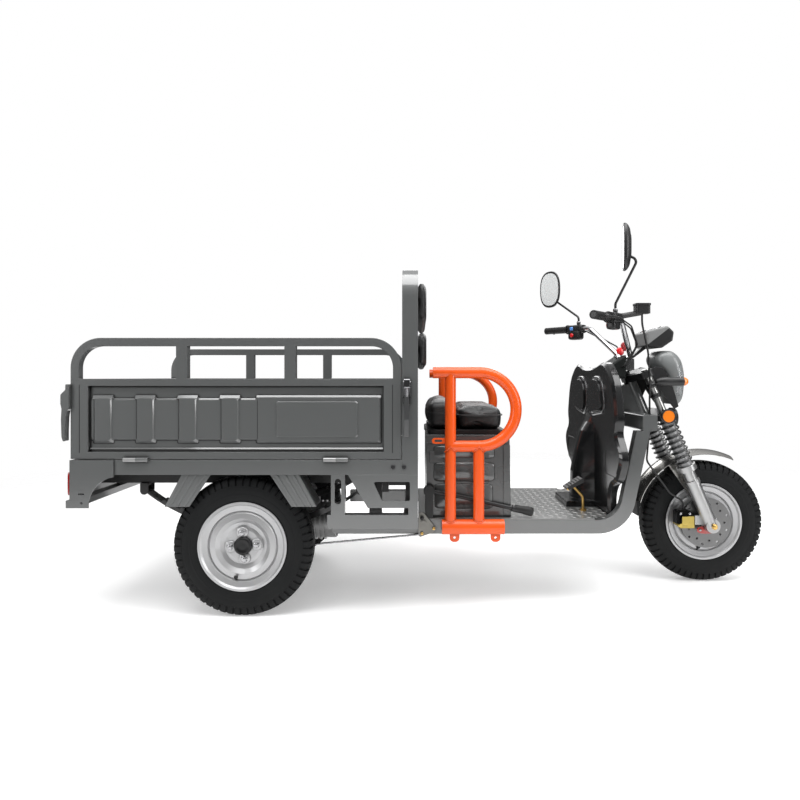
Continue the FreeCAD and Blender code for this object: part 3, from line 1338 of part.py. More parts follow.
cup_drop = 24
caliper_x = front_axle_x - 100
sliders = []
for side in (-1, 1):
    y = leg_y * side
    low, high = in_order((leg_y - 24) * side, (leg_y + 24) * side)
    leg = fuse([fork_rod(-4, 210, y, d.slider_radius),
                fork_rod(206, d.slider_top - cup_drop, y, d.slider_radius - 3),
                fork_rod(d.slider_top - cup_drop, d.slider_top, y, d.spring_radius + 2),
                fork_rod(196, 212, y, d.slider_radius + 3),
                rod(front_axle_x, low, axle_z, 30, high - low, ALONG_Y)])
    sliders.append(cut(leg, fork_rod(d.slider_top - 60, d.slider_top + 20, y, d.stanchion_radius + press)))
axle_reach = leg_y + 34
axle_rod = rod(front_axle_x, -axle_reach, axle_z, d.axle_radius, axle_reach * 2, ALONG_Y)
caliper_lug = box(caliper_x + 34 + d.part_gap, front_axle_x - 20, -104, -88, axle_z, axle_z + 40)
node("fork_sliders", fuse([*sliders, axle_rod, caliper_lug]))

# Front mudguard: a crowned blade over the wheel, on a stay to each slider.
blade_rise, blade_half, blade_sheet = 16, 62, 2.5
blade_start, blade_sweep = 66, 97


def mudguard():
    """The blade's arched section, swept round the wheel's axle."""
    inner, crown = d.fender_radius.value, d.fender_radius.value + blade_rise
    outside = [Vector(inner, -blade_half, 0), Vector(crown, 0, 0), Vector(inner, blade_half, 0)]
    inside = [point - Vector(blade_sheet, 0, 0) for point in reversed(outside)]
    wire = Part.Wire([Part.Arc(*outside).toShape(), Part.LineSegment(outside[2], inside[0]).toShape(),
                      Part.Arc(*inside).toShape(), Part.LineSegment(inside[2], outside[0]).toShape()])
    return Part.Face(wire).revolve(Vector(0, 0, 0), Vector(0, -1, 0), blade_sweep)


def around_axle(degrees, reach):
    """A place round the front wheel, at an angle up from straight ahead."""
    turn = math.radians(degrees)
    return front_axle_x + reach * math.cos(turn), axle_z + reach * math.sin(turn)


blade = at(shaped(mudguard()), *front_centre, Rotation(Vector(0, -1, 0), blade_start))
stay_inner = leg_y - d.slider_radius - 24
blade_edge = d.fender_radius - 0.5
stays = []
for side in (-1, 1):
    low, high = in_order(stay_inner * side, (stay_inner + 4) * side)
    stays.append(plate("XZ_Plane", [(fork_x(120) - 20, fork_z(120)), (fork_x(120) + 20, fork_z(120)),
                                    around_axle(103, blade_edge), around_axle(123, blade_edge)], low, high))
    low, high = in_order(stay_inner * side, (leg_y - d.slider_radius - d.part_gap) * side)
    stays.append(rod(fork_x(140), low, fork_z(140), 9, high - low, ALONG_Y))
node("front_fender", fuse([blade, *stays]))

# Mud flap: a rubber sheet that hangs from the rear end of the front mudguard.
flap_half, flap_length, flap_sheet = 58, 64, 5
blade_end = blade_start + blade_sweep + 0.02
inner_x, inner_z = around_axle(blade_end, blade_edge - 2)
crown_x, crown_z = around_axle(blade_end, d.fender_radius + blade_rise - 1)
flap_foot = crown_z - flap_length
node("mud_flap", plate("XZ_Plane", [(inner_x, inner_z), (crown_x, crown_z), (crown_x + 4, flap_foot),
                                    (crown_x + 4 + flap_sheet, flap_foot)], -flap_half, flap_half))

# Brake caliper on the right slider, open over the disc's edge.
caliper_low, caliper_high = axle_z - 16, axle_z + 62
caliper_rear = caliper_x - 42
caliper_nose = caliper_x + 34
caliper = [plate("XZ_Plane", [(caliper_rear, caliper_low + 12), (caliper_rear + 14, caliper_low),
                              (caliper_nose, caliper_low), (caliper_nose, caliper_high - 18),
                              (caliper_x + 10, caliper_high), (caliper_rear, caliper_high)],
                 -100, -68, rounds=[(8, [0, 1, 3, 4, 5])]),
           box(caliper_rear, caliper_x + 20, -68.5, -59, caliper_low + 12, caliper_high - 6),
           rod(caliper_x - 8, -106, axle_z + 22, 19, 10, ALONG_Y)]
slot = box(front_axle_x - d.disc_radius - 4, caliper_x + 60, -68, -60, axle_z - 30, axle_z + 80)
node("brake_caliper", cut(fuse(caliper), slot))

# Handlebar: a chromed tube that rises from the upper clamp and sweeps back to the grips.
tip_x = cab_x + d.bar_tip_reach
elbow_x, elbow_y = cab_x + 835, 230
riser_x, riser_half, riser_top = cab_x + 935, 60, 985
BAR = [(tip_x, -d.bar_half_span, d.bar_height), (elbow_x, -elbow_y, d.bar_height),
       (riser_x, -riser_half, riser_top), (riser_x, riser_half, riser_top),
       (elbow_x, elbow_y, d.bar_height), (tip_x, d.bar_half_span, d.bar_height)]
riser_z = fork_z(stem_end, d.fork_offset) + d.stem_radius * rake_sin + d.part_gap
riser = box(riser_x - 25, riser_x + 25, -riser_half / 2, riser_half / 2, riser_z, riser_top - 1)
node("handlebar", fuse([tube(BAR, 50, d.bar_radius), riser]))

bar_tip, bar_elbow = place(BAR[0]), place(BAR[1])
bar_along = (bar_elbow - bar_tip).normalize()
bar_ahead = bar_along.cross(Z_AXIS) * -1
if bar_ahead.x < 0:
    bar_ahead = bar_ahead * -1


def on_bar(along, ahead=0, up=0):
    """A place by the right end of the handlebar, measured in from its tip."""
    return bar_tip + bar_along * along + bar_ahead * ahead + Z_AXIS * up


def bar_bore(start, end):
    return shaped(Part.makeCylinder(d.bar_radius.value + press, end - start, on_bar(start), bar_along))


# Grips: ribbed rubber sleeves with a flange at the inner end.
grip_ends = (0, d.grip_length.value)
grip_body = shaped(Part.makeCylinder(d.grip_radius.value, grip_ends[1], on_bar(0), bar_along))
grip_flange = shaped(Part.makeCylinder(d.grip_radius.value + 6, 6, on_bar(grip_ends[1] - 6), bar_along))
node("grips", pair(cut(fuse([grip_body, grip_flange]), bar_bore(-1, grip_ends[1] + 1))))

# Hand controls: a switch housing on each side, a lever blade ahead of the grip, and a fluid box on the right.
pod_start, pod_end = grip_ends[1] + 1, 226


def housing(start, end, half_high, half_deep, ahead):
    outlines = [rounded_loop(on_bar(along, ahead), bar_ahead, Z_AXIS, half_deep * grow, half_high * grow, 4)
                for along, grow in ((start, 0.88), (start + 6, 0.99), (start + 16, 1), ((start + end) / 2, 1),
                                    (end - 16, 1), (end - 6, 0.99), (end, 0.88))]
    return moulded(outlines)


pod = housing(pod_start, pod_end, 21, 24, 5)
lever_root = pod_start + 22
blade = tube([on_bar(lever_root, 20, -4), on_bar(lever_root - 10, 52, -8), on_bar(lever_root - 60, 58, -8),
              on_bar(12, 50, -8)], 14, 5)
lever_tip = shaped(Part.makeSphere(8, on_bar(12, 50, -8)))
control_bore = bar_bore(pod_start - 1, pod_end + 1)
boss_along, boss_top = pod_end - 30, 28
mirror_boss = shaped(Part.makeCylinder(9, 18, on_bar(boss_along, 4, boss_top - 18), Z_AXIS))
fluid_x, fluid_y, fluid_z = cab_x + 880, -262, 1160
fluid_box = plate("XY_Plane", oblong(fluid_x, fluid_x + 58, fluid_y - 24, fluid_y + 24),
                  fluid_z, fluid_z + 34,
                  rounds=[(10, [0, 1, 2, 3])])
fluid_lid = plate("XY_Plane", oblong(fluid_x - 2, fluid_x + 60, fluid_y - 26, fluid_y + 26), fluid_z + 33,
                  fluid_z + 41, rounds=[(11, [0, 1, 2, 3])])
fluid_arm = tube([on_bar(pod_end - 22, 12, 6), (fluid_x + 24, fluid_y, fluid_z + 4)], 8, 11)
fluid_parts = [fluid_box, fluid_lid, fluid_arm]
right_controls = cut(fuse([pod, mirror_boss, blade, lever_tip, *fluid_parts]), control_bore)
left_controls = mirrored(cut(fuse([pod, mirror_boss, blade, lever_tip]), control_bore))
node("hand_controls", group([right_controls, left_controls]))

# Mirrors: an egg-shaped shell with a glass let into it, on a bent stem from each control housing.
mirror_shells, glass = [], []
stem_thickness = 5
shell_depth = 30
glass_depth, glass_recess = 2, 3
half_tall, half_wide = d.mirror_height.value / 2, d.mirror_width.value / 2


def mirror_loop(depth, grow):
    """The egg outline of a mirror, at a depth forwards of its rim, in the mirror's own frame."""
    return rounded_loop(Vector(depth, 0, 0), Y_AXIS, Z_AXIS, half_wide * grow, half_tall * grow, 2.5)


for side, x, y, z, yaw in ((-1, cab_x + 800, 360, 1410, 15), (1, cab_x + 673, 390, 1351, 45)):
    shell = moulded([mirror_loop(depth, grow) for depth, grow in
                     ((0, 0.97), (5, 1), (16, 0.93), (25, 0.74), (shell_depth, 0.46))])
    recess = moulded([mirror_loop(-1, 0.9), mirror_loop(glass_recess, 0.9)])
    pane = moulded([mirror_loop(0.7, 0.885), mirror_loop(0.7 + glass_depth, 0.885)])
    turn = Rotation(Z_AXIS, yaw * side)
    ahead = turn.multVec(X_AXIS)
    root = on_bar(boss_along, 4, boss_top + d.part_gap.value)
    root = Vector(root.x, root.y * -side, root.z)
    end = Vector(number(x), y * side, z - 30) + ahead * 14
    knee = Vector(0, 0, 30)
    stem = tube([root, root + knee, end + ahead * 40 - Vector(0, 0, 22), end], 20, stem_thickness)
    hollowed = at(cut(shell, recess), x, y * side, z, turn)
    at(pane, x, y * side, z, turn)
    mirror_shells.append(fuse([stem, hollowed]))
    glass.append(pane)
node("mirrors", group(mirror_shells))
node("mirror_glass", group(glass))

# Steering cowl: a moulded box over the upper clamp, with its top sloped towards the rider.
cowl_half = 80
cowl_front = riser_x - 25 - d.part_gap
cowl_back = cab_x + 838
cowl_side = [(cowl_back, 905), (cowl_front, 895), (cowl_front, 1002), (cowl_back, 955)]
node("steering_cowl", plate("XZ_Plane", cowl_side, -cowl_half, cowl_half,
                            rounds=[(14, [0, 3]), (4, [2])], crowns=[(10, "low"), (10, "high")]))

# Instrument housing: a tapered moulding that faces the rider, on an arm from the handlebar's riser.
meter = plate("XZ_Plane", [(cab_x + 1000, 1034), (cab_x + 1066, 1030), (cab_x + 1112, 1062),
                           (cab_x + 1118, 1100),
                           (cab_x + 1090, 1127), (cab_x + 996, 1104)],
              -cowl_half, cowl_half, rounds=[(14, [0, 1, 3, 4, 5])], crowns=[(9, "low"), (9, "high")])
meter_arm = plate("XZ_Plane", [(riser_x + 12, riser_top - d.part_gap), (riser_x + 24, riser_top - d.part_gap),
                               (cab_x + 1032, 1040), (cab_x + 1012, 1046)], -12, 12)
node("instrument_panel", fuse([meter, meter_arm]))

# Head lamp: a shell that narrows to its chin, with a bowl behind a clear domed lens.
LAMP = [(784, 78, 118, 56), (806, 68, 134, 66), (860, 59, 141, 78), (892, 54, 141, 84), (920, 38, 140, 86),
        (944, 20, 137, 87), (966, 8, 132, 86), (1000, 10, 112, 76), (1018, 34, 84, 54)]
lamp_split = 96


def lamp_level(level, back, front, half, grow):
    """The lamp's level section between its back and its front, grown outwards by a margin."""
    x0, x1 = number(lamp_back) + back - grow, number(lamp_back) + front + grow
    centre = Vector((x0 + x1) / 2, 0, level)
    return rounded_loop(centre, X_AXIS, Y_AXIS, (x1 - x0) / 2, half + grow, 3)


lamp_form = moulded([lamp_level(*section, 0) for section in LAMP])
lamp_core = moulded([lamp_level(*section, -4) for section in LAMP[1:-1]])
visor_z, chin_z = 958, 822
split_x = lamp_back + lamp_split
window = box(split_x, split_x + 90, -110, 110, chin_z, visor_z)
bowl_z, bowl_radius, bowl_depth = 890, 60, 24
bowl = rod(split_x - bowl_depth, 0, bowl_z, bowl_radius, bowl_depth + 1, ALONG_X)
lens_seat = d.part_gap
lens_window = box(split_x + lens_seat, split_x + 90, -109, 109, chin_z + lens_seat, visor_z - lens_seat)
bulb_holder = rod(split_x - bowl_depth - 1, 0, bowl_z, 16, 24, ALONG_X)
signal_y, signal_z, bullet_x = 160, 884, cab_x + 1040
lug_root, lug_y, stalk_x = 58, 90, bullet_x + 62
lug = rod(stalk_x, lug_root, signal_z, 10, lug_y - lug_root, ALONG_Y)
lamp_boss = rod(lamp_back, 0, 920, 14, 56, ALONG_X)
node("head_lamp", fuse([cut(lamp_form, [window, bowl]), bulb_holder, lamp_boss, lug, mirrored(lug)]))
node("head_lamp_lens", common(cut(lamp_form, lamp_core), lens_window))

# Front indicators: bullet lamps on stalks, and round side reflectors on the lower clamp.
bullet_radius, bullet_length = 19, 100
signals = []
for side in (-1, 1):
    y = signal_y * side
    tail = number(bullet_x)
    outlines = [rounded_loop(Vector(tail + ahead, y, signal_z), Y_AXIS, Z_AXIS, radius, radius, 2)
                for ahead, radius in ((-34, 9), (-24, 14), (0, bullet_radius),
                                      (bullet_length * 0.7, bullet_radius),
                                      (bullet_length - 8, 16), (bullet_length, 8))]
    low, high = in_order(y, (lug_y + d.part_gap) * side)
    stalk = rod(stalk_x, low, signal_z, 6, high - low, ALONG_Y)
    signals.append(fuse([moulded(outlines), stalk]))
    x, z = fork_x(d.lower_clamp + 12), fork_z(d.lower_clamp + 12)
    low, high = in_order(149 * side, 157 * side)
    shell = rod(x, low, z, 29, high - low, ALONG_Y)
    low, high = in_order((clamp_half + d.part_gap) * side, 150 * side)
    signals.append(fuse([shell, rod(x, low, z, 8, high - low, ALONG_Y)]))
node("front_indicators", group(signals))

# Brake hose: from the fluid box on the handlebar, behind the right leg, down to the caliper.
hose_radius = 4
hose = [(fluid_x + 30, fluid_y, fluid_z - d.part_gap), (fluid_x + 30, fluid_y, fluid_z - 40),
        (cab_x + 972, -162, 1010), (cab_x + 984, -152, 890), (cab_x + 1000, -104, 800),
        (cab_x + 1004, -96, 700), (cab_x + 990, -96, 540),
        (cab_x + 1092, -92, 400), (caliper_x - 10, -86, caliper_high + 36),
        (caliper_x - 10, -86, caliper_high + d.part_gap)]
node("brake_hose", tube(hose, 40, hose_radius))

# Control cables: a loom from each switch housing that runs in under the steering cowl.
looms = []
for side in (-1, 1):
    for offset in (0, 9):
        start = on_bar(pod_end + 4, 18, -3 - offset)
        looms.append(tube([(start.x, start.y * -side, start.z),
                           (start.x + 42, (254 - offset) * side, start.z - 26),
                           (cab_x + 942, (124 - offset) * side, 1040),
                           (cab_x + 894 - offset, 112 * side, 946),
                           (cab_x + 894 - offset, (cowl_half + d.part_gap) * side, 946)], 26, 3))
node("control_cables", group(looms))

# Every feature has to have built before anything is written.
doc.recompute()
for thing in doc.Objects:
    if "Invalid" in thing.State or "Error" in thing.State:
        raise RuntimeError(f"{thing.Name} {thing.Label} did not build: {thing.State}")
for label, thing in NODES.items():
    if thing.Shape.isNull() or not thing.Shape.isValid():
        raise RuntimeError(f"{label} has no valid shape")
os.makedirs("parts", exist_ok=True)
for label, thing in NODES.items():
    thing.Shape.exportStep(f"parts/{label}.step")
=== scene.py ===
"""A three-wheeled electric load carrier: its finishes, treads, upholstery and small fittings,
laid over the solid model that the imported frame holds."""

import math

import bmesh
import bpy
import numpy as np
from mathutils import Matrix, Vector


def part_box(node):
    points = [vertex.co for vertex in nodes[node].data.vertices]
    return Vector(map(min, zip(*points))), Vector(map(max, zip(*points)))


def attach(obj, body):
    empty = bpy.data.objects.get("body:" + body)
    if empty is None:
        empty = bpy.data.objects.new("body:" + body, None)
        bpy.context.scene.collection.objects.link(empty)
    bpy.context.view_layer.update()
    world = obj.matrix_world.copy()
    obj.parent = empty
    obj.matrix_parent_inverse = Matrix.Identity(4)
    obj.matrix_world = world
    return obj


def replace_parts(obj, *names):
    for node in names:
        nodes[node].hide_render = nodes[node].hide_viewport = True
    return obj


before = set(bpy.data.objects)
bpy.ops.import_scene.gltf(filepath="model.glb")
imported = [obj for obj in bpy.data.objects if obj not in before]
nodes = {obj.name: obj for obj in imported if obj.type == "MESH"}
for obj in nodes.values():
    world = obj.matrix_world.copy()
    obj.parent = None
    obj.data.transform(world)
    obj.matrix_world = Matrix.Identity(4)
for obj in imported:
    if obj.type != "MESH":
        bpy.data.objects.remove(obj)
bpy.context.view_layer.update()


# The viewpoint: level with the rider's elbow, square to the vehicle's right side, beside the bulkhead.
eye = (-0.1045, -2.76, 0.903)
focal, film = 27.675, 36.0
lens = bpy.data.cameras.new("viewpoint")
lens.lens, lens.sensor_width = focal, film
lens.shift_x, lens.shift_y = -0.0225, -0.02875
viewpoint = bpy.data.objects.new("viewpoint", lens)
viewpoint.location, viewpoint.rotation_euler = eye, (math.radians(90), 0, 0)
bpy.context.scene.collection.objects.link(viewpoint)
bpy.context.scene.camera = viewpoint


# The studio: a pale floor under the wheels that fades into a white room, a wide soft panel overhead,
# and a tall soft panel at each end.
class Tone:
    """A number or colour on its way through a finish's nodes. Arithmetic on it adds Math nodes."""

    def __init__(self, finish, socket):
        self.finish, self.socket = finish, socket

    def maths(self, operation, first, second=0.0):
        return self.finish.node("ShaderNodeMath", {"operation": operation}, {0: first, 1: second})

    def __add__(self, other):
        return self.maths("ADD", self, other)

    def __sub__(self, other):
        return self.maths("SUBTRACT", self, other)

    def __rsub__(self, other):
        return self.maths("SUBTRACT", other, self)

    def __mul__(self, other):
        return self.maths("MULTIPLY", self, other)

    def __truediv__(self, other):
        return self.maths("DIVIDE", self, other)

    def __pow__(self, other):
        return self.maths("POWER", self, other)

    def __lt__(self, other):
        return self.maths("LESS_THAN", self, other)

    def __gt__(self, other):
        return self.maths("GREATER_THAN", self, other)

    def __abs__(self):
        return self.maths("ABSOLUTE", self)

    __radd__, __rmul__ = __add__, __mul__

    def repeat(self, pitch):
        """How far along its own pitch a place is, from 0 to the pitch."""
        return self.maths("FLOORED_MODULO", self, pitch)

    def clipped(self):
        return self.maths("MINIMUM", self.maths("MAXIMUM", self, 0.0), 1.0)


class Finish:
    """One finish: a material with a Principled shader, and the Object coordinates its patterns follow."""

    def __init__(self, name, colour, roughness, uniform=None):
        self.material = bpy.data.materials.new(name)
        self.material.use_nodes = True
        self.tree = self.material.node_tree
        self.shader = self.tree.nodes["Principled BSDF"]
        self.colour, self.roughness, self.surface = (*colour, 1.0), roughness, None
        self.feed("Base Color", self.colour)
        self.feed("Roughness", roughness)
        for socket, value in (uniform or {}).items():
            self.feed(socket, value)

    def feed(self, socket, value, shader=None):
        """Sets a socket to a value, or links a Tone to it."""
        target = (shader or self.shader).inputs[socket]
        if isinstance(value, Tone):
            self.tree.links.new(value.socket, target)
        else:
            target.default_value = value

    def node(self, kind, settings=None, sockets=None, give=0):
        """Adds a node: its settings first, then the values or links of its sockets. Gives one output."""
        made = self.tree.nodes.new(kind)
        for key, value in (settings or {}).items():
            if key == "stops":
                while len(made.color_ramp.elements) < len(value):
                    made.color_ramp.elements.new(1.0)
                for stop, (place, tone) in zip(made.color_ramp.elements, value):
                    stop.position, stop.color = place, (tone, tone, tone, 1.0)
            else:
                setattr(made, key, value)
        for key, value in (sockets or {}).items():
            self.feed(key, value, made)
        return Tone(self, made.outputs[give])

    def place(self, stretch=(1, 1, 1)):
        """Where a point is, in metres, stretched along each axis."""
        spot = self.node("ShaderNodeTexCoord", give="Object")
        if stretch == (1, 1, 1):
            return spot
        return self.node("ShaderNodeMapping", None, {"Vector": spot, "Scale": stretch})

    def axes(self):
        """The three coordinates of a point, each as a Tone."""
        split = self.node("ShaderNodeSeparateXYZ", None, {0: self.place()})
        return split, *(Tone(self, split.socket.node.outputs[k]) for k in (1, 2))

    def cloudy(self, fineness, detail=3.0, stretch=(1, 1, 1)):
        """Soft random variation from 0 to 1, `fineness` times a metre."""
        return self.node("ShaderNodeTexNoise", None,
                         {"Vector": self.place(stretch), "Scale": fineness, "Detail": detail})

    def shift(self, share, other):
        """Turns the base colour towards another one by a varying share."""
        now = self.shader.inputs["Base Color"]
        before = Tone(self, now.links[0].from_socket) if now.links else tuple(now.default_value)
        self.feed("Base Color", self.node("ShaderNodeMix", {"data_type": "RGBA"},
                                          {0: share, 6: before, 7: (*other, 1.0)}, give=2))
        return self

    def uneven(self, fineness=9.0, colour=0.12, gloss=0.1, stretch=(1, 1, 1)):
        """Patches a little darker and duller than the rest, as handled and dusty surfaces have."""
        cloud = self.cloudy(fineness, 4.0, stretch)
        self.shift(cloud * colour, tuple(c * 0.45 for c in self.colour[:3]))
        self.feed("Roughness", self.roughness - gloss / 2 + cloud * gloss)
        return self

    def dusty(self, top=0.55, amount=0.16):
        """Pale road dust that thins out with height above the ground."""
        height = self.axes()[2]
        share = ((top - height) / top).clipped() * self.cloudy(14.0, 6.0) * amount
        return self.shift(share, (0.30, 0.28, 0.25))

    def relief(self, height, depth, strength=1.0):
        """Raises the surface by `depth` metres where `height` is 1, without changing the mesh."""
        sockets = {"Height": height, "Distance": depth, "Strength": strength}
        if self.surface:
            sockets["Normal"] = self.surface
        self.surface = self.node("ShaderNodeBump", None, sockets)
        self.feed("Normal", self.surface)
        return self

    def softened(self, radius):
        """Rounds the look of pressed and cut edges by a radius."""
        self.surface = self.node("ShaderNodeBevel", {"samples": 4}, {"Radius": radius})
        self.feed("Normal", self.surface)
        return self

    def painted_corner_shade(self, reach=0.012, share=0.85, other=(0.002, 0.002, 0.002)):
        """Painted shade in inner corners: darkens by the share of the space within reach that is
        closed off, doubled, so that a square corner counts as wholly closed."""
        opened = self.node("ShaderNodeAmbientOcclusion", {"samples": 8}, {"Distance": reach}, give="AO")
        return self.shift(((1 - opened) * 2.0).clipped() * share, other)

    def grained(self, fineness, depth, strength=0.5):
        """A fine moulded or sprayed texture."""
        return self.relief(self.cloudy(fineness, 2.0), depth, strength)

    def onto(self, *pieces):
        """Gives pieces this finish. A name stands for a node of the solid model."""
        for piece in pieces:
            thing = nodes[piece] if isinstance(piece, str) else piece
            thing.data.materials.clear()
            thing.data.materials.append(self.material)
        return self


def put(name, points, faces, finish, body, smooth=True, slot=None):
    """Makes a piece of the given points and faces, with a finish, riding on a body."""
    mesh = bpy.data.meshes.new(name)
    mesh.from_pydata(np.asarray(points, float).reshape(-1, 3).tolist(), [], faces)
    mesh.polygons.foreach_set("use_smooth", np.full(len(mesh.polygons), smooth))
    mesh.validate()
    piece = bpy.data.objects.new(name, mesh)
    bpy.context.scene.collection.objects.link(piece)
    if finish:
        finish.onto(piece)
    if body:
        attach(piece, body)
    return piece


floor_reach, floor_fade = 9.0, 2.2
ring = np.linspace(0, 2 * np.pi, 97)[:-1]
radii = np.array([0.0, 1.0, 2.0, 3.0, 4.5, 6.0, floor_reach])
disc = np.stack([np.outer(radii, np.cos(ring)), np.outer(radii, np.sin(ring)), np.zeros((7, 96))], -1)


def grid_faces(rows, columns, around=False, offset=0):
    """The four-cornered faces between neighbouring points of a grid. With `around`, the last column
    joins the first."""
    row, column = np.meshgrid(np.arange(rows - 1), np.arange(columns if around else columns - 1), indexing="ij")
    after = (column + 1) % columns
    corners = np.stack([row * columns + column, row * columns + after,
                        (row + 1) * columns + after, (row + 1) * columns + column], -1)
    return (corners.reshape(-1, 4) + offset).tolist()


floor_finish = Finish("studio_floor", (0.86, 0.86, 0.86), 0.42,
                      {"Specular IOR Level": 0.25, "Emission Strength": 0.30, "Emission Color": (1.0, 1.0, 1.0, 1.0)})
across = floor_finish.axes()
far = ((across[0] * across[0] + across[1] * across[1]) ** 0.5 - floor_fade) / 2.6
floor_finish.feed("Alpha", 1 - far.clipped())
floor_finish.uneven(3.0, 0.02, 0.06)
floor = put("studio_floor", disc[:, ::-1], grid_faces(7, 96, around=True), floor_finish, None)

room = bpy.data.worlds.new("room")
room.use_nodes = True
bpy.context.scene.world = room
tree = room.node_tree
sky = tree.nodes["Background"]
up = tree.nodes.new("ShaderNodeSeparateXYZ")
tree.links.new(tree.nodes.new("ShaderNodeTexCoord").outputs["Generated"], up.inputs[0])
fall = tree.nodes.new("ShaderNodeMapRange")
fall.inputs["From Min"].default_value, fall.inputs["From Max"].default_value = 0.05, 0.9
fall.inputs["To Min"].default_value, fall.inputs["To Max"].default_value = 0.08, 0.80
tree.links.new(up.outputs[2], fall.inputs["Value"])
seen = tree.nodes.new("ShaderNodeLightPath")
pick = tree.nodes.new("ShaderNodeMix")
pick.inputs[3].default_value = 1.0
tree.links.new(seen.outputs["Is Camera Ray"], pick.inputs[0])
tree.links.new(fall.outputs[0], pick.inputs[2])
tree.links.new(pick.outputs[0], sky.inputs["Strength"])
sky.inputs["Color"].default_value = (1.0, 1.0, 1.0, 1.0)
bpy.context.scene.view_settings.view_transform = "Standard"

for name, spot, size, power, aim in (("overhead_panel", (0.2, -0.9, 3.4), (4.8, 2.2), 175, (0, 0, 0.3)),
                                     ("front_panel", (3.4, -2.3, 1.7), (0.9, 2.4), 60, (0.5, 0, 0.6)),
                                     ("rear_panel", (-3.4, -2.3, 1.7), (0.9, 2.4), 46, (-0.6, 0, 0.6)),
                                     ("far_panel", (0.3, 3.2, 2.4), (3.6, 1.4), 50, (0, 0, 0.6))):
    panel = bpy.data.lights.new(name, "AREA")
    panel.shape, panel.size, panel.size_y, panel.energy = "RECTANGLE", *size, power
    holder = bpy.data.objects.new(name, panel)
    holder.location = spot
    holder.rotation_mode = "QUATERNION"
    holder.rotation_quaternion = (Vector(aim) - Vector(spot)).to_track_quat("-Z", "Y")
    bpy.context.scene.collection.objects.link(holder)


# The chassis: two folded steel rails under the bed with cross tubes between them, sprayed black, and the
# square tubes of the bed's skirt and of the front frame, welded, filled and sprayed dark grey.
def paint(name, colour, roughness=0.34, coat=0.3, dust_top=0.5, dust=0.10, sheen=0.5, edge=0.0018):
    """Sprayed enamel: cloudy, slightly dusty below, with painted shade in inner corners, a clear coat and rounded
    edges.
    """
    finish = Finish(name, colour, roughness, {"Coat Weight": coat, "Coat Roughness": 0.10,
                                              "Specular IOR Level": sheen, "Coat IOR": 1.75})
    finish.uneven(7.0, 0.10, 0.08).dusty(dust_top, dust).painted_corner_shade().softened(edge)
    return finish.grained(260.0, 0.00008, 0.25)


grey_paint = paint("grey_enamel", (0.080, 0.083, 0.083), 0.30, 0.8, edge=0.0042).onto("front_frame", "side_frame")
black_paint = paint("black_enamel", (0.0095, 0.0096, 0.010), 0.42, 0.12, 0.6, 0.07, 0.35).onto("chassis_frame")


# The rear axle: a live tube axle in black, with the motor flanged to its middle, hung under two packs of
# leaves. Each pack is held down by two bent bolts that pass round the tube, a plate and four nuts.
def frame_along(direction):
    """Two unit vectors square to a direction and to each other."""
    along = np.asarray(direction, float) / np.linalg.norm(direction)
    helper = np.array([0, 0, 1.0]) if abs(along[2]) < 0.9 else np.array([1.0, 0, 0])
    first = np.cross(helper, along)
    first /= np.linalg.norm(first)
    return along, first, np.cross(along, first)


def lathed(profile, centre, direction, count=32, sides=0, ring=False):
    """A profile of (along, radius) turned about a direction through a centre. With `sides`, the radius is
    drawn out to that many flats: r / cos of the angle from the nearest flat's middle, where the third
    column of the profile is 1. A face closes each end, or, for a ring, the profile's last point joins its
    first. Gives points and faces."""
    profile = np.asarray(profile, float)
    along, first, second = frame_along(direction)
    turn = np.arange(count) * 2 * np.pi / count
    stretch = np.ones((len(profile), count))
    if sides:
        bend = (turn + np.pi / sides) % (2 * np.pi / sides) - np.pi / sides
        stretch = np.where(profile[:, 2:3] > 0, 1 / np.cos(bend), 1.0)
    r = profile[:, 1:2] * stretch
    points = (np.asarray(centre) + profile[:, 0, None, None] * along
              + (r * np.cos(turn))[..., None] * first + (r * np.sin(turn))[..., None] * second).reshape(-1, 3)
    if ring:
        return points, (np.asarray(grid_faces(len(profile) + 1, count, around=True)) % len(points)).tolist()
    faces = grid_faces(len(profile), count, around=True)
    return points, faces + [list(range(count))[::-1], list(range(len(points) - count, len(points)))]


def together(*shapes):
    """Several (points, faces) shapes as one."""
    points, faces, start = [], [], 0
    for shape_points, shape_faces in shapes:
        points.append(np.asarray(shape_points))
        faces += [[corner + start for corner in face] for face in shape_faces]
        start += len(shape_points)
    return np.concatenate(points), faces


def fitted(name, shapes, finish, body, **more):
    """Puts several (points, faces) shapes in place as one piece."""
    return put(name, *together(*shapes), finish, body, **more)


def hexagon_head(centre, direction, flats=0.013, height=0.008, washer=0.0):
    """A hexagon head or nut: a washer, six flats, and a top that a cone has trimmed at the corners."""
    r = flats / 2
    profile = [(0, r * 0.9, 0)]
    if washer:
        profile += [(0, washer, 0), (0.0015, washer, 0), (0.0018, r * 1.02, 0)]
    profile += [(0.0018 if washer else 0, r, 1), (height * 0.82, r, 1), (height, r * 0.97, 0), (height, r * 0.3, 0)]
    return lathed(profile, centre, direction, 24, 6)


def round_head(centre, direction, radius=0.006, height=0.003):
    """A domed screw head."""
    rise = np.linspace(0, 1, 6)
    profile = [(0, radius * 0.98)] + [(height * math.sin(u * math.pi / 2), radius * math.cos(u * math.pi / 2 * 0.93))
                                      for u in rise]
    return lathed(profile, centre, direction, 20)


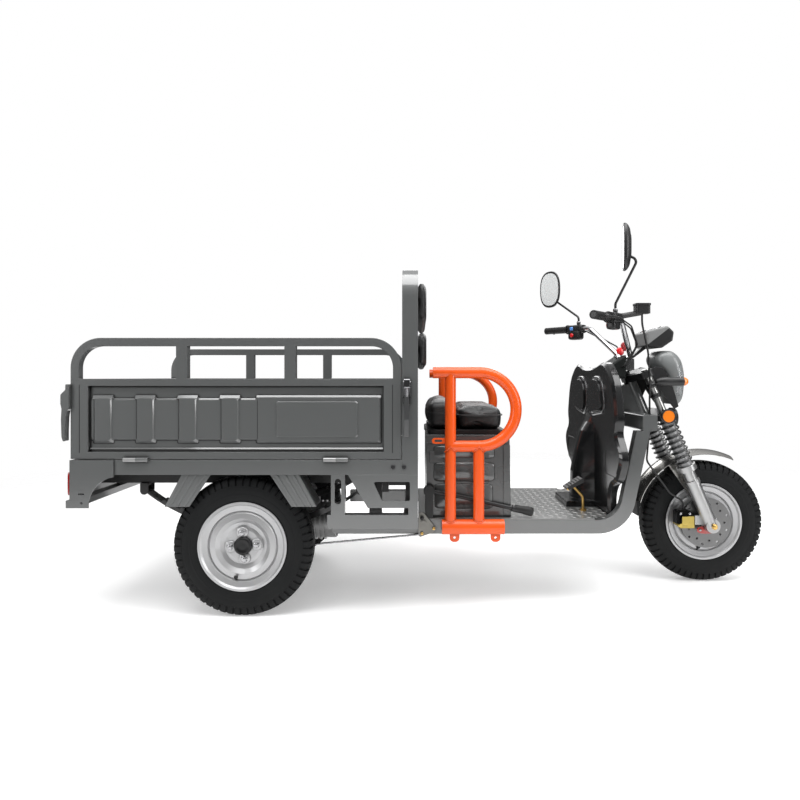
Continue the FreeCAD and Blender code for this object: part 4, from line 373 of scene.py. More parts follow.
def roped(path, radius, closed=True, sides=8):
    """A round cord along a path: circles square to the path's direction, carried without twist."""
    path = np.asarray(path, float)
    ahead = np.roll(path, -1, 0) - np.roll(path, 1, 0) if closed else np.gradient(path, axis=0)
    ahead /= np.linalg.norm(ahead, axis=1, keepdims=True)
    first = np.zeros_like(path)
    first[0] = frame_along(ahead[0])[1]
    for k in range(1, len(path)):
        step = first[k - 1] - ahead[k] * (first[k - 1] @ ahead[k])
        first[k] = step / np.linalg.norm(step)
    second = np.cross(ahead, first)
    turn = np.arange(sides) * 2 * np.pi / sides
    radius = np.broadcast_to(np.asarray(radius, float).reshape(-1, 1), (len(path), 1))
    points = path[:, None] + radius[..., None] * (np.cos(turn)[:, None] * first[:, None]
                                                  + np.sin(turn)[:, None] * second[:, None])
    faces = grid_faces(len(path), sides, around=True)
    if closed:
        last = (len(path) - 1) * sides
        faces += [[last + k, last + (k + 1) % sides, (k + 1) % sides, k] for k in range(sides)]
    else:
        faces += [list(range(sides))[::-1], list(range((len(path) - 1) * sides, len(path) * sides))]
    return points.reshape(-1, 3), faces


def rounded_outline(half_wide, half_tall, power=4.0, count=32):
    """A flat superellipse: the point in each direction where |x / wide| ^ power + |y / tall| ^ power is 1."""
    turn = np.linspace(0, 2 * np.pi, count, endpoint=False)
    c, s = np.cos(turn), np.sin(turn)
    reach = (np.abs(c) ** power + np.abs(s) ** power) ** (-1 / power)
    return np.stack([half_wide * c * reach, half_tall * s * reach], -1)


def plaque(outline, origin, along, up, height, bevel=0.0006):
    """A flat plate: an outline in the plane of two directions, raised by `height` along their cross
    product, its top edge cut back by `bevel` towards the outline's middle."""
    outline, origin = np.asarray(outline, float), np.asarray(origin, float)
    along, up = (np.asarray(way, float) / np.linalg.norm(way) for way in (along, up))
    middle, away = outline.mean(0), np.cross(along, up)
    size = np.abs(outline - middle).max()
    rings = []
    for rise, share in ((0.0, 1.0), (height - bevel, 1.0), (height, 1 - bevel / size)):
        flat = middle + (outline - middle) * share
        rings.append(origin + flat[:, :1] * along + flat[:, 1:] * up + away * rise)
    count = len(outline)
    faces = grid_faces(3, count, around=True) + [list(range(count))[::-1], list(range(2 * count, 3 * count))]
    return np.concatenate(rings), faces


plated = Finish("plated_steel", (0.40, 0.40, 0.41), 0.27, {"Metallic": 1.0}).uneven(60.0, 0.3, 0.14).softened(0.0006)
spring_paint = paint("black_spring_enamel", (0.009, 0.009, 0.0095), 0.32, 0.25, 0.4, 0.06, 0.4).onto("leaf_springs")
black_paint.onto("rear_axle")
motor_alloy = Finish("motor_alloy", (0.34, 0.34, 0.34), 0.42, {"Metallic": 1.0})
motor_alloy.uneven(16.0, 0.25, 0.14).softened(0.0012).grained(900.0, 0.00012, 0.4).onto("drive_motor")

axle_height, track, front_axle, rear_axle = 0.265, 0.405, 1.1575, -0.7655
spring_line, bolt_reach, bolt_pitch, plate_top = 0.280, 0.036, 0.0325, 0.3425
bend = np.linspace(np.pi, 2 * np.pi, 17)
bent_bolt = np.concatenate([[(-bolt_reach, 0, plate_top + 0.010 - axle_height)],
                            np.stack([bolt_reach * np.cos(bend), 0 * bend, bolt_reach * np.sin(bend)], -1),
                            [(bolt_reach, 0, plate_top + 0.010 - axle_height)]])
shapes = []
for side in (-1, 1):
    middle = np.array([rear_axle, side * spring_line, 0])
    shapes.append(plaque(rounded_outline(0.050, 0.042, 8.0), middle + [0, 0, 0.3353], (1, 0, 0), (0, 1, 0),
                         plate_top - 0.3353))
    for pitch in (-bolt_pitch, bolt_pitch):
        shapes.append(roped(bent_bolt + middle + [0, pitch, axle_height], 0.005, closed=False, sides=12))
        shapes += [hexagon_head(middle + [reach, pitch, plate_top], (0, 0, 1), 0.016, 0.008)
                   for reach in (-bolt_reach, bolt_reach)]
fitted("spring_hold_down_bolts", shapes, plated, "root")
shapes = [hexagon_head((-0.4692, 0.069 * math.cos(t), axle_height + 0.069 * math.sin(t)), (1, 0, 0), 0.010, 0.006)
          for t in np.radians(np.arange(6) * 60 + 30)]
fitted("motor_cover_screws", shapes, plated, "root")


# The tyres: cross-ply 4.00-12 rubber. Blocks are moulded across the shoulders, staggered from side to side,
# and a zigzag groove runs round each side of the middle rib.
def carried_round(section, turns, centre, drop=0.0, slide=0.0):
    """A section carried round the wheel's axle. Point (y, r) at turn t stands at x = r sin t, z = r cos t,
    with its radius less `drop` and its y more `slide`, both of which may vary with turn and point."""
    y = section[:, 0] + slide
    r = section[:, 1] - drop
    t = np.asarray(turns)[:, None]
    y, r = np.broadcast_to(y, (len(turns), len(section))), np.broadcast_to(r, (len(turns), len(section)))
    return np.stack([centre[0] + r * np.sin(t), centre[1] + y, centre[2] + r * np.cos(t)], -1)


tread_blocks = 56
block_marks = np.array([0.0, 0.05, 0.27, 0.32, 0.50, 0.55, 0.77, 0.82])
groove_deep, notch_deep = 0.0055, 0.0065
half_tyre = np.array([      # y, radius, how much of the groove's and of the notch's depth is cut there, zigzag
    (0.0000, 0.2650, 0, 0, 0.0), (0.0050, 0.2649, 0, 0, 1.0), (0.0058, 0.2649, 1, 0, 1.0),
    (0.0095, 0.2647, 1, 0, 1.0), (0.0103, 0.2647, 0, 0, 1.0), (0.0190, 0.2640, 0, 0, 0.6),
    (0.0200, 0.2639, 0, 1, 0.5), (0.0270, 0.2628, 0, 1, 0.0), (0.0340, 0.2605, 0, 1, 0.0),
    (0.0385, 0.2572, 0, 1, 0.0), (0.0415, 0.2530, 0, 1, 0.0), (0.0440, 0.2470, 0, 0.95, 0.0),
    (0.0458, 0.2410, 0, 0.8, 0.0), (0.0470, 0.2350, 0, 0.6, 0.0), (0.0474, 0.2318, 0, 0.4, 0.0),
    (0.0476, 0.2296, 0, 0, 0.0), (0.0486, 0.2290, 0, 0, 0.0), (0.0486, 0.2278, 0, 0, 0.0),
    (0.0480, 0.2272, 0, 0, 0.0), (0.0493, 0.2200, 0, 0, 0.0), (0.0499, 0.2120, 0, 0, 0.0),
    (0.0497, 0.2040, 0, 0, 0.0), (0.0490, 0.1965, 0, 0, 0.0), (0.0492, 0.1960, 0, 0, 0.0),
    (0.0490, 0.1945, 0, 0, 0.0), (0.0486, 0.1940, 0, 0, 0.0), (0.0480, 0.1880, 0, 0, 0.0),
    (0.0470, 0.1820, 0, 0, 0.0), (0.0452, 0.1760, 0, 0, 0.0), (0.0430, 0.1712, 0, 0, 0.0),
    (0.0405, 0.1690, 0, 0, 0.0), (0.0370, 0.1640, 0, 0, 0.0), (0.0350, 0.1583, 0, 0, 0.0)])


def tyre(name, node, centre, body):
    """Two mirrored half sections joined over the crown. Depths follow the place within one block's pitch:
    a notch is open from 5 to 27 hundredths of it, and half a pitch later on the other side."""
    turns = ((np.arange(tread_blocks)[:, None] + block_marks) * 2 * np.pi / tread_blocks).ravel()
    near = np.tile((block_marks > 0.04) & (block_marks < 0.28), tread_blocks)
    far = np.tile((block_marks > 0.54) & (block_marks < 0.78), tread_blocks)
    swing = np.tile(1 - 4 * np.abs(block_marks - 0.5), tread_blocks)
    other = half_tyre[:0:-1] * [-1, 1, 1, 1, 1]
    rows = np.concatenate([other, half_tyre])
    side = np.where(rows[:, 0] < 0, 0, 1)
    notch = np.where(side == 0, near[:, None], far[:, None]) * rows[:, 3]
    depth = groove_deep * rows[:, 2] + notch_deep * notch
    inward = -np.sign(rows[:, 0]) * notch * notch_deep * np.clip((0.262 - rows[:, 1]) / 0.03, 0, 0.75)
    points = carried_round(rows[:, :2], turns, centre, depth, inward + 0.0016 * swing[:, None] * rows[:, 4])
    count = len(rows)
    faces = grid_faces(len(turns), count)
    last = (len(turns) - 1) * count
    faces += [[last + k, last + k + 1, k + 1, k] for k in range(count - 1)]
    faces += [[row * count + count - 1, row * count, (row + 1) % len(turns) * count,
               (row + 1) % len(turns) * count + count - 1] for row in range(len(turns))]
    piece = put(name, points, [face[::-1] for face in faces], tyre_rubber, body, slot="tyre")
    creases = piece.modifiers.new("block edges", "EDGE_SPLIT")
    creases.split_angle = math.radians(32)
    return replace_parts(piece, node)


tyre_rubber = Finish("tyre_rubber", (0.0045, 0.0050, 0.0054), 0.60, {"Specular IOR Level": 0.17})
tyre_rubber.uneven(12.0, 0.25, 0.16).dusty(0.5, 0.015).grained(1400.0, 0.00010, 0.5)
hands = (("right", -1), ("left", 1))
front_hub = (front_axle, 0, axle_height)
rear_hubs = {label: (rear_axle, side * track, axle_height) for label, side in hands}
tyre("front_tyre_tread", "front_tyre", front_hub, "front_wheel_body")
for side, hub in rear_hubs.items():
    tyre(f"rear_tyre_tread_{side}", f"rear_tyre_{side}", hub, f"rear_wheel_{side}_body")


# The wheels: pressed steel discs welded into rolled rims and sprayed silver, four plated nuts on studs,
# a black hub cap, a rubber valve, and the dark seam where the disc is pressed into the rim.
wheel_silver = Finish("wheel_silver", (0.38, 0.38, 0.385), 0.36, {"Metallic": 0.7, "Coat Weight": 0.3})
wheel_silver.uneven(10.0, 0.10, 0.08).softened(0.0012).grained(1800.0, 0.00003, 0.3)
wheel_silver.onto("rear_wheel_right", "rear_wheel_left", "front_wheel")
cap_plastic = Finish("hub_cap_black", (0.006, 0.006, 0.0065), 0.30, {"Specular IOR Level": 0.3})
cap_plastic.uneven(40.0, 0.2, 0.1)
# A dark finish for real seams, and also for thin lines of painted shade at the gate's pressed fields and round the
# seat box's panels.
seam_and_shade_black = Finish("seam_and_shade_black", (0.012, 0.012, 0.012), 0.7, {"Specular IOR Level": 0.3}).uneven(40.0, 0.2, 0.1)
grip_rubber = Finish("valve_rubber", (0.011, 0.011, 0.011), 0.55, {"Specular IOR Level": 0.35})
grip_rubber.uneven(30.0, 0.2, 0.12).grained(1800.0, 0.00008)

rim_half, rim, bolt_ring, bolt_turns = 0.046, 0.168, 0.050, np.radians([5, 95, 185, 275])
bolt_face, cap_face = rim_half - 0.022, rim_half - 0.006
valve_ring, valve_turn = 0.1225, 0.2
valve_stem = [(0, 0.0095), (0.003, 0.0092), (0.007, 0.0062), (0.020, 0.0052), (0.0205, 0.0056), (0.031, 0.0054),
              (0.032, 0.0040)]
seam_ring = [(rim_half - along, rim - inwards) for along, inwards in
             ((0.0165, 0.0378), (0.0148, 0.0392), (0.0148, 0.0408), (0.0165, 0.0416))]
cap_profile = [(cap_face + along, radius) for along, radius in
               ((-0.0145, 0.0343), (-0.0055, 0.0343), (-0.0022, 0.0330), (0.0008, 0.0285), (0.0008, 0.0235),
                (0.0003, 0.0228), (0.0003, 0.0100), (0.0006, 0.0040))]


def wheel_fittings(label, hub, out, body, driven):
    """Pads and nuts on the bolt ring and a seam ring, on the wheel's side `out` (-1 or 1). A driven wheel has
    a hub cap there too. Each wheel has one valve, low on the dish, and the front one's is shorter."""
    centre, way = np.array(hub), np.array([0.0, out, 0.0])
    radials = [np.array([math.cos(t), 0, math.sin(t)]) for t in bolt_turns]
    spots = [centre + radial * bolt_ring + way * (bolt_face + 0.004) for radial in radials]
    fitted(f"pressed_pads_{label}", [plaque(rounded_outline(0.0225, 0.0205, 2.6, 40), spot - way * 0.001,
                                            np.cross(radial, way), radial, 0.0042, 0.0034)
                                     for radial, spot in zip(radials, spots)], wheel_silver, body)
    fitted(f"hub_nuts_{label}", [hexagon_head(spot + way * 0.003, way, 0.0185, 0.0105, 0.0128) for spot in spots],
           plated, body)
    if driven or out < 0:
        down = -np.array([math.sin(valve_turn), 0, math.cos(valve_turn)])
        reach = 1.0 if driven else 0.7
        stem = [(reach * along, radius) for along, radius in valve_stem]
        foot = centre + down * valve_ring + way * 0.028
        put(f"tyre_valve_{label}", *lathed(stem, foot, way * 0.9 - down * 0.35, 20), grip_rubber, body)
    put(f"rim_seam_{label}", *lathed(seam_ring, centre, way, 96, ring=True), seam_and_shade_black, body)
    if driven:
        put(f"hub_cap_{label}", *lathed(cap_profile, centre, way, 48), cap_plastic, body)


for side, out in hands:
    wheel_fittings(f"rear_{side}", rear_hubs[side], out, f"rear_wheel_{side}_body", True)
    wheel_fittings(f"front_{side}", front_hub, out, "front_wheel_body", False)


# The load bed: a folded sheet floor in a square-tube skirt, with a bent mudguard over each wheel, a hoop
# bumper behind and a hoop and bulkhead in front, sprayed grey. Domed bolts hold the skirt and the hoop's feet.
grey_paint.onto("bed_floor", "rear_bumper", "bulkhead")
fender_paint = Finish("fender_enamel", (0.088, 0.091, 0.091), 0.32, {"Coat Weight": 0.6, "Coat IOR": 1.7})
fender_paint.uneven(7.0, 0.10, 0.08).softened(0.006).onto("rear_fenders")
dark_bolt = Finish("blackened_steel", (0.022, 0.022, 0.023), 0.38, {"Metallic": 0.6}).uneven(60.0, 0.3, 0.12)
skirt_face, skirt_row = 0.480, 0.569
shapes = [round_head((x, side * skirt_face, skirt_row), (0, side, 0), 0.0085, 0.0045)
          for side in (-1, 1) for x in (-0.197, -0.156)]
fitted("skirt_bolts", shapes, dark_bolt, "root")


# The tail lamps: moulded plastic lenses, red with an amber turn signal at the outer end, fluted inside
# and held by two screws each.
def rounded_box(low, high, power, count):
    """A closed block between two corners, of six grids: each point of the unit cube's surface is divided by
    (|x| ^ power + |y| ^ power + |z| ^ power) ^ (1 / power), which rounds the edges and corners."""
    u = np.tan(np.linspace(-1, 1, count) * np.pi / 4)
    a, b = np.meshgrid(u, u, indexing="ij")
    one = np.ones_like(a)
    faces, points = [], []
    for side in ((one, a, b), (-one, b, a), (b, one, a), (a, -one, b), (a, b, one), (b, a, -one)):
        side = np.stack(side, -1)
        length = (np.abs(side) ** power).sum(-1, keepdims=True) ** (1 / power)
        faces += grid_faces(count, count, offset=len(points) * count * count)
        points.append((side / length).reshape(-1, 3))
    low, high = np.asarray(low), np.asarray(high)
    return (low + high) / 2 + np.concatenate(points) * (high - low) / 2, faces


def welded(piece, gap=0.0002):
    """Joins the seams where a piece's sides meet, and turns its faces outwards."""
    work = bmesh.new()
    work.from_mesh(piece.data)
    bmesh.ops.remove_doubles(work, verts=work.verts, dist=gap)
    bmesh.ops.recalc_face_normals(work, faces=work.faces)
    work.to_mesh(piece.data)
    work.free()
    return piece


red_lens = Finish("red_lens", (0.30, 0.008, 0.007), 0.14, {"Coat Weight": 0.8})
split = red_lens.axes()
outer = abs(split[1]) > 0.425
red_lens.uneven(30.0, 0.2, 0.04).shift(outer, (0.75, 0.20, 0.012))
red_lens.relief(abs(split[1].repeat(0.0052) - 0.0026) / 0.0026, 0.0007, 0.5).onto("tail_lamps")
red_end = Finish("red_end_lens", (0.24, 0.006, 0.006), 0.18, {"Coat Weight": 0.6}).uneven(40.0, 0.2, 0.05)
shapes = [round_head((-1.4065, side * y, 0.500), (-1, 0, 0), 0.004, 0.002)
          for side in (-1, 1) for y in (0.338, 0.452)]
for label, side in hands:
    near, far = sorted((side * 0.452, side * 0.480))
    welded(put(f"tail_lamp_end_{label}", *rounded_box((-1.4048, near, 0.463), (-1.3945, far, 0.549), 8.0, 12),
               red_end, "root"))
fitted("tail_lamp_screws", shapes, plated, "root")


# The gates: pressed sheet panels in square-tube frames that drop on plated barrel hinges. At rest a sprung
# latch on the hoop holds each side gate: a plated loop and head, and a dark lever.
grey_paint.onto("gate_right", "gate_left", "tailgate", "gate_hinges")
hinge_steel = Finish("worn_zinc", (0.30, 0.30, 0.30), 0.34, {"Metallic": 0.85})
hinge_steel.uneven(60.0, 0.3, 0.14).softened(0.0008).onto("gate_hinges")
latch_steel = Finish("bright_zinc", (0.30, 0.30, 0.31), 0.34, {"Metallic": 1.0})
latch_steel.uneven(40.0, 0.2, 0.14).softened(0.0008).onto("gate_latches")


def picked(node, finish, test):
    """Gives one more finish to those faces of a solid that the test of their middle's x, y and z and of
    their direction takes."""
    mesh = nodes[node].data
    count = len(mesh.polygons)
    middle, facing, index = np.empty(count * 3), np.empty(count * 3), np.empty(count, int)
    mesh.polygons.foreach_get("center", middle)
    mesh.polygons.foreach_get("normal", facing)
    mesh.polygons.foreach_get("material_index", index)
    mesh.materials.append(finish.material)
    index[test(*middle.reshape(-1, 3).T, facing.reshape(-1, 3))] = len(mesh.materials) - 1
    mesh.polygons.foreach_set("material_index", index)
    mesh.update()


lever_grey = paint("latch_lever_grey", (0.040, 0.041, 0.042), 0.30, 0.5)
picked("gate_latches", lever_grey, lambda x, y, z, facing: z < 0.838)
picked("gate_latches", black_paint, lambda x, y, z, facing: (abs(z - 0.879) < 0.011)
       & (abs(x + 0.1455) < 0.0095) & (abs(y) > 0.485))
pivots = [round_head((x, side * 0.4935, 0.829), (0, side, 0), 0.0042, 0.002)
          for side in (-1, 1) for x in (-0.1560, -0.1350)]


def filleted(corners, radii, steps=10):
    """A closed flat path round corners: each corner becomes an arc of its radius, from the point where it
    leaves one side to the point where it meets the next, centred on the corner's bisector."""
    corners = np.asarray(corners, float)
    path = []
    for k, (corner, radius) in enumerate(zip(corners, radii)):
        back, on = corners[k - 1] - corner, corners[(k + 1) % len(corners)] - corner
        back, on = back / np.linalg.norm(back), on / np.linalg.norm(on)
        half = math.acos(np.clip(back @ on, -1, 1)) / 2
        middle = corner + (back + on) / np.linalg.norm(back + on) * radius / math.sin(half)
        first = corner + back * radius / math.tan(half) - middle
        last = corner + on * radius / math.tan(half) - middle
        sweep = math.pi - 2 * half
        share = np.linspace(0, 1, steps)[:, None]
        path.append(middle + (np.sin((1 - share) * sweep) * first + np.sin(share * sweep) * last) / math.sin(sweep))
    return np.concatenate(path)


def on_side(side, *section):
    """A section of (y, z) on the left side, turned over for the right one."""
    return [(side * y, z) for y, z in section]


def bar(section, first, last):
    """A straight bar along x: its section's points (y, z) at both ends, with a face closing each."""
    count = len(section)
    points = np.array([(x, y, z) for x in (first, last) for y, z in section])
    faces = [[k, (k + 1) % count, count + (k + 1) % count, count + k] for k in range(count)]
    faces += [list(range(count))[::-1], list(range(count, 2 * count))]
    area = sum(a[0] * b[1] - b[0] * a[1] for a, b in zip(section, section[1:] + section[:1]))
    return points, faces if area > 0 else [face[::-1] for face in faces]


def seam_and_shade_line(x, y, bottom, top, sides=8):
    """A thin dark upright line, used both in a seam and as painted shade along a pressed wall."""
    return roped([(x, y, z) for z in (bottom, (bottom + top) / 2, top)], 0.0011, closed=False, sides=sides)


def rolled_top(side, top, rise):
    """The section of a pressed field's top edge, which leans out from the sheet more than the wall below it."""
    foot = top - rise
    return on_side(side, (sheet - 0.0005, top), (sheet + 0.42 * rise, top - 0.0008),
                   (sheet + 0.0003 + rise, foot - 0.0008), (sheet + rise - 0.001, foot - 0.004),
                   (sheet - 0.0005, foot - 0.004))


# The pressed fields of a side gate: x is a share of the sheet's length, from the tail forwards.
sheet, sheet_start, sheet_length = 0.466, -1.3285, 1.097
low_field, high_field = (0.667, 0.825), (0.656, 0.836)
low_rise, band_rise, broad_rise = 0.0066, 0.011, 0.008
bands = [(0.012 + 0.1434 * k, 0.012 + 0.1434 * k + 0.0715) for k in range(4)] + [(0.566, 0.992)]
top_line = [(0.003, low_field[1])]
for first, last in bands:
    top_line += [(first, low_field[1]), (first, high_field[1]), (last, high_field[1]), (last, low_field[1])]
top_line = top_line[:-1]
bottom_line = [(share, sum(low_field) - height) for share, height in top_line[::-1]]
around = filleted(np.array(top_line + bottom_line) * [sheet_length, 1] + [sheet_start, 0],
                  [0.0042] * (2 * len(top_line)), 4)


def along_sheet(share):
    """The x of a share of the sheet's length."""
    return sheet_start + sheet_length * share


for label, side in hands:
    # Thin dark lines: the two uprights stand in the frame's seams; the cord round the foot of the pressed fields, the
    # line along each band's left wall and the two strips in the gaps at the sheet's top and tail end are painted
    # shade.
    seams = [seam_and_shade_line(x, side * 0.4799, 0.622, 0.874) for x in (-1.3600, -0.1990)]
    seams.append(roped(np.insert(around, 1, side * (sheet + 0.0002), axis=1), 0.0013, sides=6))
    seams += [seam_and_shade_line(along_sheet(first) + 0.0066, side * (sheet + 0.0068), 0.672, 0.820, 6) for first, last in bands]
    gap = sheet_start - 0.0002
    seams.append(bar(on_side(side, (0.4655, 0.8702), (0.4669, 0.8702), (0.4669, 0.8645), (0.4655, 0.8645)),
                     gap, along_sheet(1)))
    seams.append(bar(on_side(side, (0.4655, 0.8702), (0.4670, 0.8702), (0.4670, 0.6248), (0.4655, 0.6248)),
                     gap, sheet_start + 0.0062))
    fitted(f"gate_seams_and_painted_shade_{label}", seams, seam_and_shade_black, f"side_gate_{label}")
    rolls, previous = [], 0.003
    for first, last in bands:
        rise = broad_rise if last - first > 0.1 else band_rise
        rolls += [(rolled_top(side, high_field[1], rise), first, last),
                  (rolled_top(side, low_field[1], low_rise), previous, first)]
        previous = last
    rolls.append((on_side(side, (0.4655, 0.6402), (0.4668, 0.6400), (0.4708, 0.6340), (0.4655, 0.6330)),
                  0.001, 0.999))
    shapes = [bar(section, along_sheet(first) + 0.0022, along_sheet(last) - 0.0022)
              for section, first, last in rolls if last - first > 0.01]
    fitted(f"gate_field_rolls_{label}", shapes, grey_paint, f"side_gate_{label}", smooth=False)
fitted("latch_pivot_bolts", pivots, dark_bolt, "root")


# The seat: a bench cushion of vinyl over foam on a steel pan, behind it a raised lip with rounded ends,
# and two wide pads screwed to the bulkhead hoop. Each has welted seams and sewn channels.
def swollen(piece, voxel, pressure, cap):
    """The stuffing pressing the cover out: an even remesh, 20 steps of cloth under pressure with no gravity,
    and no point further than `cap` from where it was."""
    mesh = piece.modifiers.new("even", "REMESH")
    mesh.mode, mesh.voxel_size, mesh.use_smooth_shade = "VOXEL", voxel, True
    settle(piece)
    start = np.array([v.co for v in piece.data.vertices])
    cloth = piece.modifiers.new("cover", "CLOTH")
    cloth.settings.use_pressure, cloth.settings.uniform_pressure_force = True, pressure
    cloth.settings.effector_weights.gravity = 0
    cloth.settings.mass, cloth.settings.tension_stiffness = 0.3, 20
    cloth.settings.compression_stiffness, cloth.settings.bending_stiffness = 20, 0.8
    cloth.point_cache.frame_start, cloth.point_cache.frame_end = 1, 20
    for step in range(1, 21):
        bpy.context.scene.frame_set(step)
    settle(piece)
    bpy.context.scene.frame_set(1)
    now = np.array([v.co for v in piece.data.vertices])
    moved = now - start
    far = np.linalg.norm(moved, axis=1, keepdims=True)
    now = start + moved * np.minimum(1, cap / np.maximum(far, 1e-9))
    piece.data.vertices.foreach_set("co", now.ravel())
    return piece


def settle(piece):
    """Applies a piece's modifiers to its mesh."""
    shape = bpy.data.meshes.new_from_object(piece.evaluated_get(bpy.context.evaluated_depsgraph_get()))
    piece.modifiers.clear()
    piece.data = shape


def pressed_seams(piece, seams):
    """Draws the cover in along seams: each is (axis, place, width, depth, facing), a dent of
    depth * exp(-(distance / width)^2) along the normal, all round or only as far as the cover faces that way."""
    mesh = piece.data
    points = np.array([v.co for v in mesh.vertices])
    normals = np.array([v.normal for v in mesh.vertices])
    for axis, level, width, depth, facing in seams:
        dent = depth * np.exp(-((points[:, axis] - level) / width) ** 2)
        if facing is not None:
            dent *= np.clip(normals[:, facing], 0, 1)
        points = points - normals * dent[:, None]
    mesh.vertices.foreach_set("co", points.ravel())
    mesh.update()


cover = Finish("seat_vinyl", (0.0075, 0.0075, 0.008), 0.42, {"Specular IOR Level": 0.45, "Coat Weight": 0.08,
                                                         "Coat Roughness": 0.3})
pebbles = cover.node("ShaderNodeTexVoronoi", {"feature": "DISTANCE_TO_EDGE"},
                     {"Vector": cover.place(), "Scale": 520.0})
cover.uneven(9.0, 0.2, 0.14)
cover.relief((pebbles * 5.0).clipped(), 0.0004, 0.55).relief(cover.cloudy(26.0, 3.0), 0.0035, 0.35)
welt_line = Finish("seam_thread", (0.02, 0.02, 0.021), 0.5).uneven(80.0, 0.2, 0.1).grained(2400.0, 0.0002)


def upholstered(name, node, low, high, inset, power, seams, cap):
    """A stuffed piece in the space of its solid: started smaller by `inset`, swollen, seamed, smoothed."""
    low, high = np.asarray(low) + inset, np.asarray(high) - inset
    piece = welded(put(name, *rounded_box(low, high, power, 26), cover, None))
    swollen(piece, 0.005, 4.0, cap)
    pressed_seams(piece, seams)
    cover.onto(piece)
    piece.data.polygons.foreach_set("use_smooth", np.ones(len(piece.data.polygons), bool))
    smooth = piece.modifiers.new("smooth", "SUBSURF")
    smooth.levels = smooth.render_levels = 1
    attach(piece, "root")
    if node:
        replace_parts(piece, node)
    return piece


forwards, up = 0, 2
low, high = (np.array(corner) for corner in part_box("seat_cushion"))
middle_x = (low[0] + high[0]) / 2
upholstered("seat_bench", "seat_cushion", low, high, (0.004, 0.006, 0.0), 7.0,
            [(1, y, 0.006, 0.0055, up) for y in (-0.2, -0.1, 0.0, 0.1, 0.2)]
            + [(2, high[2] - 0.030, 0.0022, 0.0022, None)], cap=0.009)
welt = rounded_outline((high[0] - low[0]) / 2 - 0.0035, 0.2795, 9.0, 220)
put("seat_bench_welt", *roped(np.insert(welt + [middle_x, 0], 2, high[2] - 0.030, axis=1), 0.0024), welt_line, "root")

low, high = (np.array(corner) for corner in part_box("seat_lip"))
upholstered("seat_rear_lip", "seat_lip", low, high, (0.004, 0.006, 0.0), 6.0,
            [(1, y, 0.007, 0.005, None) for y in (-0.14, 0.14)] + [(2, high[2] - 0.045, 0.0025, 0.003, None)],
            cap=0.010)

pad_low, pad_high = (np.array(corner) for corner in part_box("backrest_pads"))
lower, upper = (pad_low[2], 1.090), (1.108, pad_high[2])
for label, (bottom, top) in (("lower", lower), ("upper", upper)):
    upholstered(f"backrest_{label}", "backrest_pads" if label == "upper" else None,
                (pad_low[0], pad_low[1], bottom), (pad_high[0], pad_high[1], top), (0.002, 0.004, 0.003), 6.0,
                [(1, y, 0.007, 0.005, forwards) for y in (-0.27, -0.09, 0.09, 0.27)], cap=0.006)


# The footboard: steel tread plate laid in the grey frame, rolled with raised lozenges that lie at 45
# degrees in turn. Here it is painted dark, and worn brighter on the lozenges' tops.
paint("tread_plate", (0.15, 0.152, 0.150), 0.30, 0.5, 0.5, 0.22).onto("floor_plate")
worn_tread = Finish("worn_tread", (0.30, 0.30, 0.295), 0.34, {"Metallic": 0.35, "Coat Weight": 0.3})
worn_tread.uneven(24.0, 0.45, 0.2).dusty(0.5, 0.15)
deck, pitch = 0.3443, 0.029
columns, rows = np.meshgrid(np.arange(0.283, 0.683, pitch), np.arange(-0.312, 0.3125, pitch), indexing="ij")
free = (columns < 0.525) | (abs(rows) > 0.125)
columns, rows = columns[free], rows[free]
lean = np.where((np.round((columns - 0.283) / pitch) + np.round((rows + 0.312) / pitch)) % 2, 1, -1) * math.pi / 4


def lozenges(x, y, turn, base, half_long, half_wide, rise):
    """Raised lozenges: each is an eight-cornered superellipse of power 1.3 at its foot, drawn in to 0.45 of
    that at its flat top, turned about its middle."""
    foot = rounded_outline(half_long, half_wide, 1.3, 8)
    c, s = np.cos(turn)[:, None], np.sin(turn)[:, None]
    rings = []
    for share, height in ((1.0, 0.0), (0.8, rise * 0.75), (0.45, rise)):
        flat = foot * share
        rings.append(np.stack([x[:, None] + flat[:, 0] * c - flat[:, 1] * s,
                               y[:, None] + flat[:, 0] * s + flat[:, 1] * c,
                               np.full((len(x), 8), base + height)], -1))
    points = np.stack(rings, 1)
    one = np.array(grid_faces(3, 8, around=True))
    faces = (one[None] + np.arange(len(x))[:, None, None] * 24).reshape(-1, 4).tolist()
    tops = (np.arange(16, 24)[None] + np.arange(len(x))[:, None] * 24).tolist()
    bases = (np.arange(8)[::-1][None] + np.arange(len(x))[:, None] * 24).tolist()
    return points.reshape(-1, 3), faces + tops + bases


put("tread_lozenges", *lozenges(columns, rows, lean, deck - 0.0001, 0.0125, 0.0042, 0.0014), worn_tread, "root",
    smooth=False)


# The foot controls: a rubber-faced brake pedal on a brass-plated arm, a steel parking lever beside the
# seat box, and the yellow zinc rods and plates that carry the pull to the rear brakes.
moulded = Finish("moulded_black", (0.0095, 0.0095, 0.010), 0.42, {"Coat Weight": 0.08, "Specular IOR Level": 0.4})
moulded.uneven(18.0, 0.15, 0.12).softened(0.0012).grained(1500.0, 0.00008, 0.5)
moulded.onto("brake_pedal", "parking_brake")
brass = Finish("brass_plate", (0.62, 0.40, 0.13), 0.30, {"Metallic": 1.0}).uneven(40.0, 0.2, 0.1)
picked("brake_pedal", brass, lambda x, y, z, facing: z < 0.440)
zinc = Finish("yellow_zinc", (0.20, 0.195, 0.18), 0.36, {"Metallic": 1.0})
zinc.uneven(40.0, 0.35, 0.16).softened(0.0008).onto("brake_linkage")
picked("brake_linkage", plated, lambda x, y, z, facing: x < -0.19)

